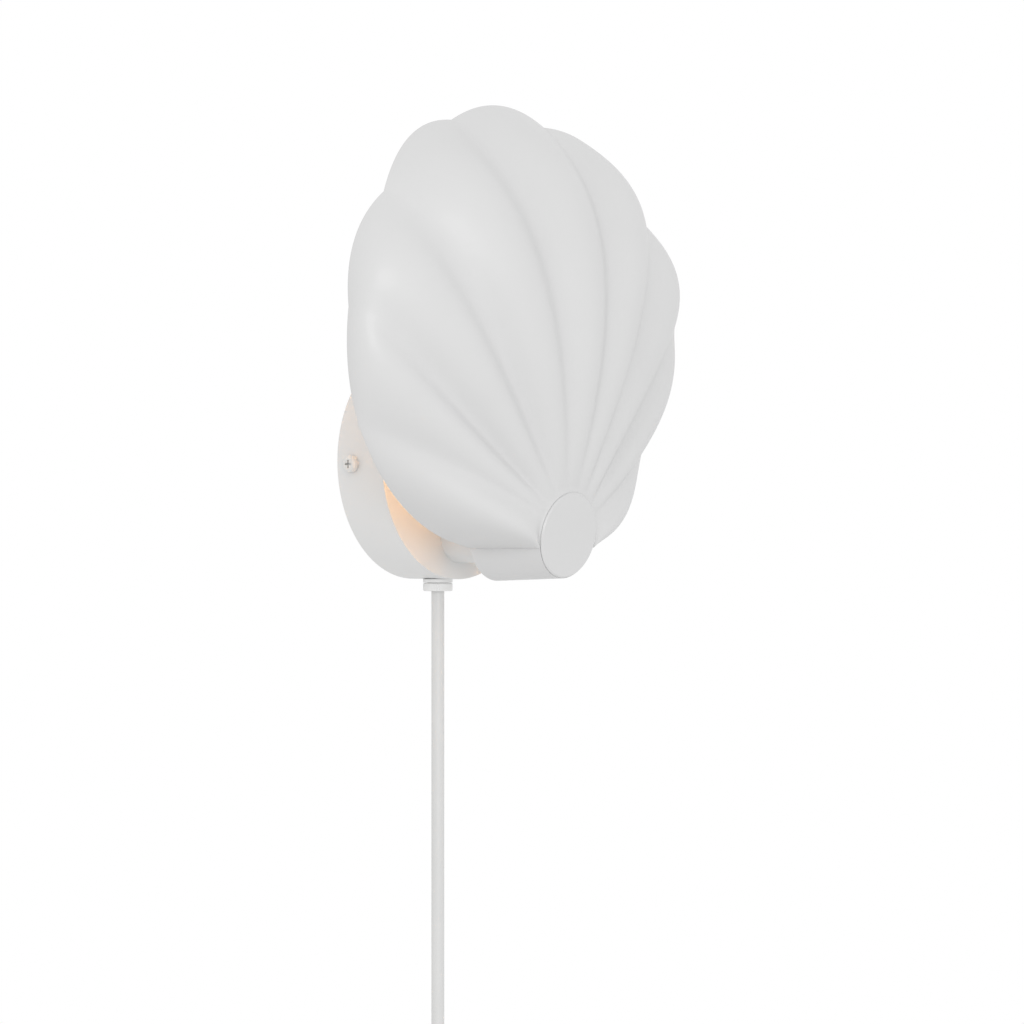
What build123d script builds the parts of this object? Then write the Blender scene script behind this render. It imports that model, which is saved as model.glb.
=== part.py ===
from build123d import *
import math
import os
from collections import namedtuple

# Plug-in wall light with a scallop shell shade. Millimetres, +Z up, the wall is the plane Y = 0.
# The light stands out along -Y, and "off" below is the distance off the wall, so Y = -off.
# The origin is the middle of the round canopy on the wall.

# ---- fits ----
clearance = 0.3  # between pieces that pass each other
thread_play = 0.1  # round a screw thread in its hole
running_fit = 0.05  # round a pivot

# ---- canopy, the round box on the wall ----
canopy_radius = 54.5
canopy_depth = 27.0
canopy_wall = 1.2
canopy_edge = 5.5  # radius of the rolled front edge

# ---- bracket on the wall, and the two screws that hold the canopy to it ----
bracket_sheet = 1.5
bracket_height = 26.0
ear_height = 16.0
ear_depth = 14.0
ear_gap = 1.1  # between an ear and the canopy's wall
side_screw_off = 9.0
side_screw_drop = 1.5
side_screw_shank = 1.9
side_screw_head = 4.0
side_screw_head_height = 3.0
side_screw_length = 8.0
wall_slot_spacing = 60.0
wall_slot_length = 10.0
wall_slot_width = 4.5

# ---- hub, on which the shell fans out ----
hub_drop = 33.9  # how far the hub's axis lies below the canopy's middle
hub_bore = 18.3
hub_front_radius = 19.8
hub_back_radius = 21.2
hub_tilt = 9.4  # the cap leans back at its foot by this angle
hub_web = 3.0
hub_cap_radius = 19.7
hub_cap_thickness = 2.7
hub_cap_bevel = 0.6
hub_spigot_length = 6.0

# ---- shell: heights are above the plane of its rim, radii are from the hub's axis ----
rim_gap = 26.5  # between the canopy's face and the rim
shell_wall = 1.8
shell_root_radius = 20.3
shell_root_height = 30.5
root_reach = 0.65  # share of the way out where a meridian's second control point stands
fairing_start = 0.035  # share of a meridian that the hollow round the hub takes
hub_front_height = 36.5
hub_back_height = -3.0
web_height = 6.5
rib_steps = (0.0, 0.12, 0.3, 0.5, 0.7, 0.88, 1.0)

# A groove runs from the hub to a notch in the rim: its angle from straight up, the notch's
# radius, the height of its body, and how far the rim's edge leans out and rises from the notch.
Groove = namedtuple("Groove", "angle radius body lean rise")
grooves = (
    Groove(angle=10.0, radius=190.0, body=56.0, lean=-30.0, rise=41.0),
    Groove(angle=29.4, radius=175.5, body=25.0, lean=5.0, rise=47.0),
    Groove(angle=47.2, radius=146.5, body=11.5, lean=49.0, rise=29.5),
    Groove(angle=61.6, radius=121.5, body=20.0, lean=18.0, rise=5.0),
    Groove(angle=106.0, radius=22.5, body=30.0, lean=0.0, rise=8.0),
)
# A rib swells between two grooves: its bow beyond the chord of its notches, and how far its
# body and its shoulder stand over the grooves. The first is the middle one.
Rib = namedtuple("Rib", "bow body shoulder")
ribs = (
    Rib(bow=10.6, body=21.5, shoulder=47.0),
    Rib(bow=10.4, body=-1.0, shoulder=3.0),
    Rib(bow=8.8, body=10.5, shoulder=-3.5),
    Rib(bow=0.7, body=0.0, shoulder=21.5),
    Rib(bow=15.6, body=17.0, shoulder=2.0),
)

# ---- stem between the canopy and the hub, with its nut, washers and screw ----
stem_radius = 13.0
stem_flange = 4.0
stem_thread = 4.9
stem_thread_length = 6.5
stem_nut_height = 4.0
stem_nut_width = 16.0
stem_washer_radius = 9.0
washer_sheet = 1.0
shade_screw_shank = 2.45
shade_screw_depth = 10.0
shade_screw_head = 4.75
shade_screw_head_height = 3.5
shade_washer_radius = 6.5

# ---- lamp bracket, lampholder and lamp ----
lamp_reach = 33.0  # the lamp's axis, beyond the canopy's face
lamp_bracket_width = 24.0
lamp_shelf_height = 9.0
lamp_bracket_top = 38.0
foot_screw_spacing = 14.0
foot_screw_height = 32.0
foot_screw_shank = 1.45
foot_screw_head = 2.8
nipple_radius = 4.9
nipple_bore = 3.5
nipple_foot = 5.0
nipple_length = 13.0
nipple_nut_height = 2.5
nipple_nut_width = 14.0
holder_radius = 13.0
holder_length = 45.5
holder_floor = 16.5
lamp_cap_radius = 6.75
lamp_cap_length = 22.0
lamp_cap_play = 0.45
bulb_radius = 22.5
bulb_length = 79.5

# ---- wiring in the canopy ----
block_width = 22.0
block_height = 18.0
block_depth = 16.0
block_foot = 6.0
block_screw_shank = 1.4
block_screw_head = 2.6
lead_radius = 2.0
lead_bend = 12.0
lead_drop = 8.0
grommet_neck = 4.0
grommet_flange = 5.5
core_radius = 1.1
core_spread = 6.0
core_pitch = 1.5

# ---- cord, its gland, its switch and its plug ----
cord_radius = 3.0
cord_off = 14.5
cord_top = -24.0
cord_gap = 0.2
gland_thread = 4.9
gland_flange = 6.85
gland_flange_height = 1.6
gland_nut_height = 3.8
gland_locknut_height = 3.0
gland_locknut_width = 14.0
gland_inside = 8.0
coil_height = -368.0  # the middle of the put-away coil
coil_radius = 45.0
coil_pitch = 6.5  # between turns that lie side by side
coil_layer = 6.6  # between the two layers
coil_inward = 7  # half turns on the way in
coil_lead = 6.0  # straight stretch before the coil
plug_lead = 14.0  # straight stretch after it
tie_width = 10.0
tie_thickness = 1.2
switch_height = -300.0
switch_length = 62.0
switch_width = 26.0
switch_thickness = 19.5
switch_back = 5.0
switch_corner = 9.0
rocker_length = 19.2
rocker_width = 11.4
rocker_pivot_off = 21.6
rocker_pin = 1.2
rocker_tilt = 8.0
rocker_well = 1.0  # floor left between the well and the cord
switch_screw_shank = 1.2
relief_length = 28.0
relief_top = 3.5
relief_foot = 5.5
plug_width = 35.0
plug_thickness = 14.0
plug_length = 36.0
pin_radius = 2.0
pin_length = 19.0
pin_spacing = 18.6

# ---- places that follow from the sizes ----
canopy_bore = canopy_radius - canopy_wall
canopy_floor = canopy_depth - canopy_wall
rim_off = canopy_depth + rim_gap
web_off = rim_off + web_height
hub_front_off = rim_off + hub_front_height
hub_back_off = rim_off + hub_back_height
lamp_off = canopy_depth + lamp_reach
ear_x = canopy_bore - ear_gap
shelf_top = lamp_shelf_height + bracket_sheet
holder_top = shelf_top + holder_length
lamp_seat = shelf_top + holder_floor
lamp_cap_top = lamp_seat + 1.0 + lamp_cap_length
gland_seat = -canopy_radius
gland_nut_top = gland_seat - gland_flange_height - 0.2
gland_nut_foot = gland_nut_top - gland_nut_height
coil_x = coil_radius
second_layer_off = cord_off + coil_layer
relief_height = coil_height - plug_lead
plug_top = relief_height - relief_length
plug_foot = plug_top - plug_length

wall_side = Plane(origin=(0, 0, 0), x_dir=(0, -1, 0), z_dir=(-1, 0, 0))
hub_side = Plane(origin=(0, 0, -hub_drop), x_dir=(0, -1, 0), z_dir=(-1, 0, 0))
lamp_side = Plane(origin=(0, -lamp_off, 0), x_dir=(0, -1, 0), z_dir=(-1, 0, 0))
wall_axis = Axis((0, 0, 0), (0, -1, 0))
hub_axis = Axis((0, 0, -hub_drop), (0, -1, 0))
hub_axis_back = Axis((0, 0, -hub_drop), (0, 1, 0))
lamp_axis = Axis((0, -lamp_off, 0), (0, 0, 1))
tilt = math.radians(hub_tilt)
hub_end = Plane(
    origin=(0, -hub_front_off, -hub_drop),
    x_dir=(1, 0, 0),
    z_dir=(0, -math.cos(tilt), -math.sin(tilt)),
)

os.makedirs("parts", exist_ok=True)


def hub_plane(angle):
    """Plane through the hub's axis, at an angle in degrees from straight up.

    Its x is the distance from the axis and its y the height above the plane of the rim.
    """
    a = math.radians(angle)
    across = (math.sin(a), 0, math.cos(a))
    return Plane(origin=(0, -rim_off, -hub_drop), x_dir=across, z_dir=(across[2], 0, -across[0]))


def groove_curve(groove):
    """Control points of a groove's outer line in its own plane, from the hub to the rim."""
    reach = groove.radius - shell_root_radius
    return [
        (shell_root_radius, shell_root_height),
        (shell_root_radius + root_reach * reach, groove.body),
        (groove.radius + groove.lean, groove.rise),
        (groove.radius, 0.0),
    ]


def rib_curve(index, share):
    """Angle and outer control points of a rib, at a share of the way across it.

    The rim runs along the chord between the rib's two notches and bows out from it. The
    control points keep their share of the radius and blend from one groove to the other.
    """
    rib = ribs[index]
    right = grooves[index]
    left = grooves[index - 1] if index else right
    left_angle = math.radians(left.angle if index else -left.angle)
    right_angle = math.radians(right.angle)
    ax, az = left.radius * math.sin(left_angle), left.radius * math.cos(left_angle)
    bx, bz = right.radius * math.sin(right_angle), right.radius * math.cos(right_angle)
    chord = math.hypot(bx - ax, bz - az)
    swell = 1 - (2 * share - 1) ** 2
    bow = rib.bow * swell / chord
    x = ax + share * (bx - ax) - bow * (bz - az)
    z = az + share * (bz - az) + bow * (bx - ax)
    radius = math.hypot(x, z)
    one, two = groove_curve(left), groove_curve(right)
    reach = radius - shell_root_radius
    points = []
    for p, q in zip(one, two):
        near = (p[0] - shell_root_radius) / (left.radius - shell_root_radius)
        far = (q[0] - shell_root_radius) / (right.radius - shell_root_radius)
        blend = (1 - share) * near + share * far
        height = (1 - share) * p[1] + share * q[1]
        points.append([shell_root_radius + blend * reach, height])
    points[1][1] += rib.body * swell
    points[2][0] += 0.3 * rib.shoulder * swell
    points[2][1] += 0.8 * rib.shoulder * swell
    return math.degrees(math.atan2(x, z)), [tuple(p) for p in points]


def split_curve(points, share):
    """The part of a cubic curve beyond a share of it, as four control points."""

    def between(p, q):
        return (p[0] + share * (q[0] - p[0]), p[1] + share * (q[1] - p[1]))

    a, b, c = between(points[0], points[1]), between(points[1], points[2]), between(*points[2:])
    d, e = between(a, b), between(b, c)
    return [between(d, e), e, c, points[3]]


def inner_curve(points):
    """Control points of the shell's inner face: the outer ones moved in by the wall."""
    steps = [(q[0] - p[0], q[1] - p[1]) for p, q in zip(points, points[1:])]
    normals = [(dy / math.hypot(dx, dy), -dx / math.hypot(dx, dy)) for dx, dy in steps]
    moved = []
    for i, p in enumerate(points):
        m, n = normals[max(i - 1, 0)], normals[min(i, 2)]
        scale = shell_wall / (1 + m[0] * n[0] + m[1] * n[1])
        moved.append((p[0] + scale * (m[0] + n[0]), p[1] + scale * (m[1] + n[1])))
    root = (hub_bore + hub_front_radius) / 2 - 0.25
    slope = steps[0][1] / steps[0][0]
    moved[0] = (root, moved[0][1] + slope * (root - moved[0][0]))
    lip = shell_wall * math.hypot(*steps[2]) / abs(steps[2][1])
    moved[3] = (points[3][0] - min(lip, 3 * shell_wall), 0.0)
    return moved


def hub_top(angle, radius):
    """Height of the hub's tilted end over the plane of the rim, at an angle and a radius."""
    return hub_front_height + radius * math.cos(math.radians(angle)) * math.tan(tilt)


def rib_outline(index, share):
    """A rib's section at a share of the way across it: its angle and its four curves.

    They are the outer dome, the inner face, the end of the hub, and the hollow that turns from
    the hub's wall out along the dome.
    """
    angle, outer = rib_curve(index, share)
    inner = inner_curve(outer)
    dome = split_curve(outer, fairing_start)
    start, step = dome[0], (dome[1][0] - dome[0][0], dome[1][1] - dome[0][1])
    pull = (0.5 * (start[0] - shell_root_radius) + 0.4) / math.hypot(*step)
    end = [
        (inner[0][0], hub_top(angle, inner[0][0])),
        (hub_front_radius, hub_top(angle, hub_front_radius)),
    ]
    fairing = [
        end[1],
        (hub_front_radius + 0.1, 0.5 * (end[1][1] + shell_root_height)),
        (start[0] - pull * step[0], start[1] - pull * step[1]),
        start,
    ]
    return angle, dome, inner[::-1], end, fairing


# ---- the hub's tube and its inner web, a little short of the ribs' ends ----
tube_wall = hub_front_radius - 0.5
tube_top = hub_front_height + 8
sleeve_top = shell_root_height - 9
taper = (hub_back_radius - hub_front_radius) / (tube_top - hub_back_height)
sleeve_radius = hub_back_radius - taper * (sleeve_top - hub_back_height)
web_hole = shade_screw_shank + clearance
with BuildPart() as hub_tube:
    with BuildSketch(hub_plane(180)):
        with BuildLine():
            Polyline(
                (web_hole, web_height),
                (hub_bore, web_height),
                (hub_bore, hub_back_height),
                (hub_back_radius, hub_back_height),
                (sleeve_radius, sleeve_top),
                (tube_wall, sleeve_top),
                (tube_wall, tube_top),
                (hub_bore, tube_top),
                (hub_bore, web_height + hub_web),
                (web_hole, web_height + hub_web),
                close=True,
            )
        make_face()
    revolve(axis=hub_axis)
    with BuildSketch(hub_end.offset(-0.2)):
        Circle(hub_back_radius + 4)
    extrude(amount=20, mode=Mode.SUBTRACT)

# ---- the hub's open side, between the lowest ribs ----
with BuildPart() as hub_side_wall:
    with BuildSketch(hub_plane(grooves[4].angle)):
        with BuildLine():
            Polyline(
                (tube_wall - 0.4, sleeve_top - 1),
                (sleeve_radius, sleeve_top),
                (hub_front_radius, tube_top),
                (tube_wall - 0.4, tube_top),
                close=True,
            )
        make_face()
    revolve(axis=hub_axis_back, revolution_arc=360 - 2 * grooves[4].angle)
    with BuildSketch(hub_end):
        Circle(hub_back_radius + 4)
    extrude(amount=20, mode=Mode.SUBTRACT)

# ---- shell shade: nine swelling ribs, lofted one by one between planes through the hub's axis ----
with BuildPart() as shade:
    for index in (1, 2, 3, 4, 0):
        if index == 0:
            mirror(about=Plane.YZ)
        for share in rib_steps:
            angle, dome, inner, end, fairing = rib_outline(index, share)
            with BuildSketch(hub_plane(angle)):
                with BuildLine():
                    Bezier(*dome)
                    Line(dome[3], inner[0])
                    Bezier(*inner)
                    Line(inner[3], end[0])
                    Line(*end)
                    Bezier(*fairing)
                make_face()
        loft()
    add(hub_tube.part)
    add(hub_side_wall.part)
shade.part.label = "shade"
export_step(shade.part, "parts/shade.step")

# ---- hub cap: a bevelled disc on a spigot ----
cap_seat = hub_end.offset(clearance)
with BuildPart() as hub_cap:
    with BuildSketch(Plane.XZ.offset(hub_front_off - hub_spigot_length)):
        with Locations((0, -hub_drop)):
            Circle(hub_bore - clearance)
    extrude(amount=hub_spigot_length + 5)
    split(bisect_by=cap_seat.offset(hub_cap_thickness / 2), keep=Keep.BOTTOM)
    with BuildSketch(cap_seat):
        Circle(hub_cap_radius)
    extrude(amount=hub_cap_thickness)
    front = hub_cap.faces().filter_by(GeomType.PLANE).sort_by(Axis.Y)[0]
    chamfer(front.edges(), hub_cap_bevel)
hub_cap.part.label = "hub_cap"
export_step(hub_cap.part, "parts/hub_cap.step")

# ---- canopy: a pressed round box with a rolled front edge ----
with BuildPart() as canopy:
    with BuildSketch(wall_side) as canopy_profile:
        Rectangle(canopy_depth, canopy_radius, align=(Align.MIN, Align.MIN))
        outer_corner = canopy_profile.vertices().sort_by_distance((0, -canopy_depth, canopy_radius))[0]
        fillet(outer_corner, canopy_edge)
        with BuildSketch(wall_side, mode=Mode.PRIVATE) as hollow:
            Rectangle(canopy_floor, canopy_bore, align=(Align.MIN, Align.MIN))
            inner_corner = hollow.vertices().sort_by_distance((0, -canopy_floor, canopy_bore))[0]
            fillet(inner_corner, canopy_edge - canopy_wall)
        add(hollow.sketch_local, mode=Mode.SUBTRACT)
    revolve(axis=wall_axis)
    with BuildSketch(Plane.XY.offset(-canopy_radius - 1)):
        with Locations((0, -cord_off)):
            Circle(gland_thread + clearance)
    extrude(amount=8, mode=Mode.SUBTRACT)
    with BuildSketch(Plane.YZ.offset(-canopy_radius - 1)):
        with Locations((-side_screw_off, -side_screw_drop)):
            Circle(side_screw_shank + clearance)
    extrude(amount=2 * canopy_radius + 2, mode=Mode.SUBTRACT)
    with BuildSketch(Plane.XZ.offset(canopy_floor - 1)):
        with Locations((0, -hub_drop)):
            Circle(stem_thread + clearance)
        with Locations((0, -lead_drop)):
            Circle(grommet_neck + clearance)
        with Locations((0, foot_screw_height)):
            with GridLocations(foot_screw_spacing, 0, 2, 1):
                Circle(foot_screw_shank + clearance)
        with Locations((0, block_foot + block_height / 2)):
            Circle(block_screw_shank + thread_play)
    extrude(amount=canopy_wall + 2, mode=Mode.SUBTRACT)
canopy.part.label = "canopy"
export_step(canopy.part, "parts/canopy.step")

# ---- wall bracket: a strip bent to a U, slotted for the wall screws ----
with BuildPart() as wall_bracket:
    with BuildSketch(Plane.XY.offset(-ear_height / 2)) as bent:
        Rectangle(2 * ear_x, ear_depth, align=(Align.CENTER, Align.MAX))
        fillet(bent.vertices().group_by(Axis.Y)[-1], bracket_sheet * 1.5)
        with Locations((0, -bracket_sheet)):
            Rectangle(
                2 * (ear_x - bracket_sheet),
                ear_depth,
                align=(Align.CENTER, Align.MAX),
                mode=Mode.SUBTRACT,
            )
    extrude(amount=ear_height)
    with BuildSketch(Plane.XZ):
        RectangleRounded(2 * ear_x - 16, bracket_height, 5)
    extrude(amount=bracket_sheet)
    with BuildSketch(Plane.XZ):
        with GridLocations(wall_slot_spacing, 0, 2, 1):
            SlotOverall(wall_slot_length, wall_slot_width)
    extrude(amount=bracket_sheet, mode=Mode.SUBTRACT)
    with BuildSketch(Plane.YZ.offset(-canopy_radius)):
        with Locations((-side_screw_off, -side_screw_drop)):
            Circle(side_screw_shank + thread_play)
    extrude(amount=2 * canopy_radius, mode=Mode.SUBTRACT)
wall_bracket.part.label = "wall_bracket"
export_step(wall_bracket.part, "parts/wall_bracket.step")

# ---- canopy screws: one each side, with domed heads and a cross recess ----
with BuildPart() as canopy_screws:
    for side in (-1, 1):
        seat = Plane(
            origin=(side * canopy_radius, -side_screw_off, -side_screw_drop),
            x_dir=(0, 0, 1),
            z_dir=(side, 0, 0),
        )
        with BuildSketch(seat):
            Circle(side_screw_head)
        extrude(amount=side_screw_head_height)
        head_rim = canopy_screws.faces().sort_by_distance(
            seat.offset(side_screw_head_height).origin
        )[0]
        fillet(head_rim.edges(), side_screw_head_height * 0.55)
        with BuildSketch(seat):
            Circle(side_screw_shank)
        extrude(amount=-side_screw_length)
        with BuildSketch(seat.offset(side_screw_head_height)):
            Rectangle(side_screw_head * 0.95, 0.9)
            Rectangle(0.9, side_screw_head * 0.95)
        extrude(amount=-side_screw_head_height * 0.5, mode=Mode.SUBTRACT)
canopy_screws.part.label = "canopy_screws"
export_step(canopy_screws.part, "parts/canopy_screws.step")

# ---- stem: it stands on the canopy's face and carries the hub on its flange ----
with BuildPart() as shade_stem:
    with BuildSketch(hub_side):
        with BuildLine():
            Polyline(
                (canopy_depth - stem_thread_length, 0),
                (web_off - shade_screw_depth - 2, 0),
                (web_off - shade_screw_depth - 2, shade_screw_shank + thread_play),
                (web_off, shade_screw_shank + thread_play),
                (web_off, hub_bore - clearance),
                (web_off - stem_flange, hub_bore - clearance),
                (web_off - stem_flange, stem_radius),
                (canopy_depth, stem_radius),
                (canopy_depth, stem_thread),
                (canopy_depth - stem_thread_length, stem_thread),
                close=True,
            )
        make_face()
    revolve(axis=hub_axis)
shade_stem.part.label = "shade_stem"
export_step(shade_stem.part, "parts/shade_stem.step")

with BuildPart() as stem_washer:
    with BuildSketch(Plane.XZ.offset(canopy_floor - washer_sheet)):
        with Locations((0, -hub_drop)):
            Circle(stem_washer_radius)
            Circle(stem_thread + clearance, mode=Mode.SUBTRACT)
    extrude(amount=washer_sheet)
stem_washer.part.label = "stem_washer"
export_step(stem_washer.part, "parts/stem_washer.step")

with BuildPart() as stem_nut:
    with BuildSketch(Plane.XZ.offset(canopy_floor - washer_sheet - stem_nut_height)):
        with Locations((0, -hub_drop)):
            RegularPolygon(stem_nut_width / 2, 6, major_radius=False)
            Circle(stem_thread + thread_play, mode=Mode.SUBTRACT)
    extrude(amount=stem_nut_height)
stem_nut.part.label = "stem_nut"
export_step(stem_nut.part, "parts/stem_nut.step")

with BuildPart() as shade_washer:
    with BuildSketch(Plane.XZ.offset(web_off + hub_web)):
        with Locations((0, -hub_drop)):
            Circle(shade_washer_radius)
            Circle(shade_screw_shank + clearance, mode=Mode.SUBTRACT)
    extrude(amount=washer_sheet)
shade_washer.part.label = "shade_washer"
export_step(shade_washer.part, "parts/shade_washer.step")

shade_screw_seat = web_off + hub_web + washer_sheet
with BuildPart() as shade_screw:
    with BuildSketch(Plane.XZ.offset(web_off - shade_screw_depth)):
        with Locations((0, -hub_drop)):
            Circle(shade_screw_shank)
    extrude(amount=shade_screw_seat - web_off + shade_screw_depth)
    with BuildSketch(Plane.XZ.offset(shade_screw_seat)):
        with Locations((0, -hub_drop)):
            Circle(shade_screw_head)
    extrude(amount=shade_screw_head_height)
    with BuildSketch(Plane.XZ.offset(shade_screw_seat + shade_screw_head_height)):
        with Locations((0, -hub_drop)):
            RegularPolygon(2.0, 6, major_radius=False)
    extrude(amount=-shade_screw_head_height * 0.6, mode=Mode.SUBTRACT)
shade_screw.part.label = "shade_screw"
export_step(shade_screw.part, "parts/shade_screw.step")

# ---- lamp bracket: a foot on the canopy's face and a shelf under the lampholder ----
with BuildPart() as lamp_bracket:
    with BuildSketch(wall_side.offset(-lamp_bracket_width / 2)) as angle_iron:
        with Locations((canopy_depth, lamp_shelf_height)):
            Rectangle(
                bracket_sheet,
                lamp_bracket_top - lamp_shelf_height,
                align=(Align.MIN, Align.MIN),
            )
            Rectangle(
                lamp_reach + lamp_bracket_width / 2,
                bracket_sheet,
                align=(Align.MIN, Align.MIN),
            )
        fillet(
            angle_iron.vertices().sort_by_distance((0, -canopy_depth, lamp_shelf_height))[0],
            bracket_sheet * 1.2,
        )
    extrude(amount=lamp_bracket_width)
    shelf_end = lamp_bracket.edges().filter_by(Axis.Z).group_by(Axis.Y)[0]
    fillet(shelf_end, lamp_bracket_width / 2 - 1)
    with BuildSketch(Plane.XY.offset(lamp_shelf_height)):
        with Locations((0, -lamp_off)):
            Circle(nipple_radius + clearance)
    extrude(amount=bracket_sheet, mode=Mode.SUBTRACT)
    with BuildSketch(Plane.XZ.offset(canopy_depth)):
        with Locations((0, foot_screw_height)):
            with GridLocations(foot_screw_spacing, 0, 2, 1):
                Circle(foot_screw_shank + clearance)
    extrude(amount=bracket_sheet, mode=Mode.SUBTRACT)
lamp_bracket.part.label = "lamp_bracket"
export_step(lamp_bracket.part, "parts/lamp_bracket.step")

foot_front = canopy_depth + bracket_sheet
with BuildPart() as bracket_screws:
    for x in (-foot_screw_spacing / 2, foot_screw_spacing / 2):
        with BuildSketch(Plane.XZ.offset(foot_front)):
            with Locations((x, foot_screw_height)):
                Circle(foot_screw_head)
        extrude(amount=2.0)
        with BuildSketch(Plane.XZ.offset(canopy_floor - 4)):
            with Locations((x, foot_screw_height)):
                Circle(foot_screw_shank)
        extrude(amount=foot_front - canopy_floor + 4)
        with BuildSketch(Plane.XZ.offset(foot_front + 2.0)):
            with Locations((x, foot_screw_height)):
                Rectangle(foot_screw_head * 1.1, 0.7)
                Rectangle(0.7, foot_screw_head * 1.1)
        extrude(amount=-1.1, mode=Mode.SUBTRACT)
bracket_screws.part.label = "bracket_screws"
export_step(bracket_screws.part, "parts/bracket_screws.step")

with BuildPart() as bracket_nuts:
    with BuildSketch(Plane.XZ.offset(canopy_floor - 2.4)):
        with Locations((0, foot_screw_height)):
            with GridLocations(foot_screw_spacing, 0, 2, 1):
                RegularPolygon(2.75, 6, major_radius=False)
                Circle(foot_screw_shank + thread_play, mode=Mode.SUBTRACT)
    extrude(amount=2.4)
bracket_nuts.part.label = "bracket_nuts"
export_step(bracket_nuts.part, "parts/bracket_nuts.step")

# ---- threaded nipple and its nut, under the lampholder ----
with BuildPart() as lamp_nipple:
    with BuildSketch(Plane.XY.offset(nipple_foot)):
        with Locations((0, -lamp_off)):
            Circle(nipple_radius)
            Circle(nipple_bore, mode=Mode.SUBTRACT)
    extrude(amount=nipple_length)
lamp_nipple.part.label = "lamp_nipple"
export_step(lamp_nipple.part, "parts/lamp_nipple.step")

with BuildPart() as nipple_nut:
    with BuildSketch(Plane.XY.offset(lamp_shelf_height - nipple_nut_height)):
        with Locations((0, -lamp_off)):
            RegularPolygon(nipple_nut_width / 2, 6, major_radius=False)
            Circle(nipple_radius + thread_play, mode=Mode.SUBTRACT)
    extrude(amount=nipple_nut_height)
nipple_nut.part.label = "nipple_nut"
export_step(nipple_nut.part, "parts/nipple_nut.step")

# ---- lampholder: a moulded cup with a collar, screwed to the nipple ----
nipple_socket = nipple_foot + nipple_length + 1
with BuildPart() as lampholder:
    with BuildSketch(lamp_side):
        with BuildLine():
            Polyline(
                (nipple_radius + thread_play, shelf_top),
                (holder_radius, shelf_top),
                (holder_radius, shelf_top + 11),
                (holder_radius + 1.2, shelf_top + 12.5),
                (holder_radius + 1.2, shelf_top + 17),
                (holder_radius - 0.6, shelf_top + 18.5),
                (holder_radius - 1.2, holder_top),
                (lamp_cap_radius + lamp_cap_play, holder_top),
                (lamp_cap_radius + lamp_cap_play, lamp_seat),
                (0, lamp_seat),
                (0, nipple_socket),
                (nipple_radius + thread_play, nipple_socket),
                close=True,
            )
        make_face()
    revolve(axis=lamp_axis)
lampholder.part.label = "lampholder"
export_step(lampholder.part, "parts/lampholder.step")

# ---- lamp: a screw cap with its contact, and a round bulb ----
with BuildPart() as bulb_base:
    with BuildSketch(lamp_side):
        with BuildLine():
            Polyline(
                (0, lamp_seat),
                (2.4, lamp_seat),
                (3.2, lamp_seat + 1.0),
                (lamp_cap_radius - 1.5, lamp_seat + 2.5),
                (lamp_cap_radius, lamp_seat + 4.0),
                (lamp_cap_radius, lamp_cap_top),
                (0, lamp_cap_top),
                close=True,
            )
        make_face()
    revolve(axis=lamp_axis)
bulb_base.part.label = "bulb_base"
export_step(bulb_base.part, "parts/bulb_base.step")

bulb_top = lamp_seat + bulb_length
bulb_middle = bulb_top - bulb_radius
with BuildPart() as bulb_glass:
    with BuildSketch(lamp_side):
        with BuildLine():
            neck_line = Line((lamp_cap_radius, lamp_cap_top), (lamp_cap_radius, holder_top + 1.5))
            shoulder = (
                bulb_radius * math.sin(math.radians(125)),
                bulb_middle + bulb_radius * math.cos(math.radians(125)),
            )
            Spline(
                neck_line @ 1,
                shoulder,
                tangents=(neck_line % 1, (math.cos(math.radians(55)), math.sin(math.radians(55)))),
            )
            CenterArc((0, bulb_middle), bulb_radius, -35, 125)
            Line((0, bulb_top), (0, lamp_cap_top))
            Line((0, lamp_cap_top), (lamp_cap_radius, lamp_cap_top))
        make_face()
    revolve(axis=lamp_axis)
bulb_glass.part.label = "bulb_glass"
export_step(bulb_glass.part, "parts/bulb_glass.step")

# ---- terminal block on the inside of the canopy's face ----
block_back = canopy_floor - block_depth
block_middle = block_foot + block_height / 2
with BuildPart() as terminal_block:
    with BuildSketch(Plane.XZ.offset(block_back)):
        with Locations((0, block_middle)):
            Rectangle(block_width, block_height)
    extrude(amount=block_depth)
    top_edges = terminal_block.faces().sort_by(Axis.Y)[-1].edges()
    fillet(top_edges, 0.8)
    with BuildSketch(Plane.XZ.offset(block_back)):
        with Locations((0, block_middle)):
            Circle(block_screw_shank + clearance)
            with GridLocations(2 * core_spread, block_height / 2, 2, 2):
                Circle(2.2)
    extrude(amount=4, mode=Mode.SUBTRACT)
    with BuildSketch(Plane.XZ.offset(block_back)):
        with Locations((0, block_middle)):
            Circle(block_screw_shank + clearance)
    extrude(amount=block_depth, mode=Mode.SUBTRACT)
terminal_block.part.label = "terminal_block"
export_step(terminal_block.part, "parts/terminal_block.step")

with BuildPart() as terminal_screws:
    with BuildSketch(Plane.XZ.offset(block_back + 1.5)):
        with Locations((0, block_middle)):
            with GridLocations(2 * core_spread, block_height / 2, 2, 2):
                Circle(1.9)
                Rectangle(3.0, 0.6, mode=Mode.SUBTRACT)
    extrude(amount=1.0)
    with BuildSketch(Plane.XZ.offset(block_back + 2.5)):
        with Locations((0, block_middle)):
            with GridLocations(2 * core_spread, block_height / 2, 2, 2):
                Circle(1.9)
    extrude(amount=1.5)
terminal_screws.part.label = "terminal_screws"
export_step(terminal_screws.part, "parts/terminal_screws.step")

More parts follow.
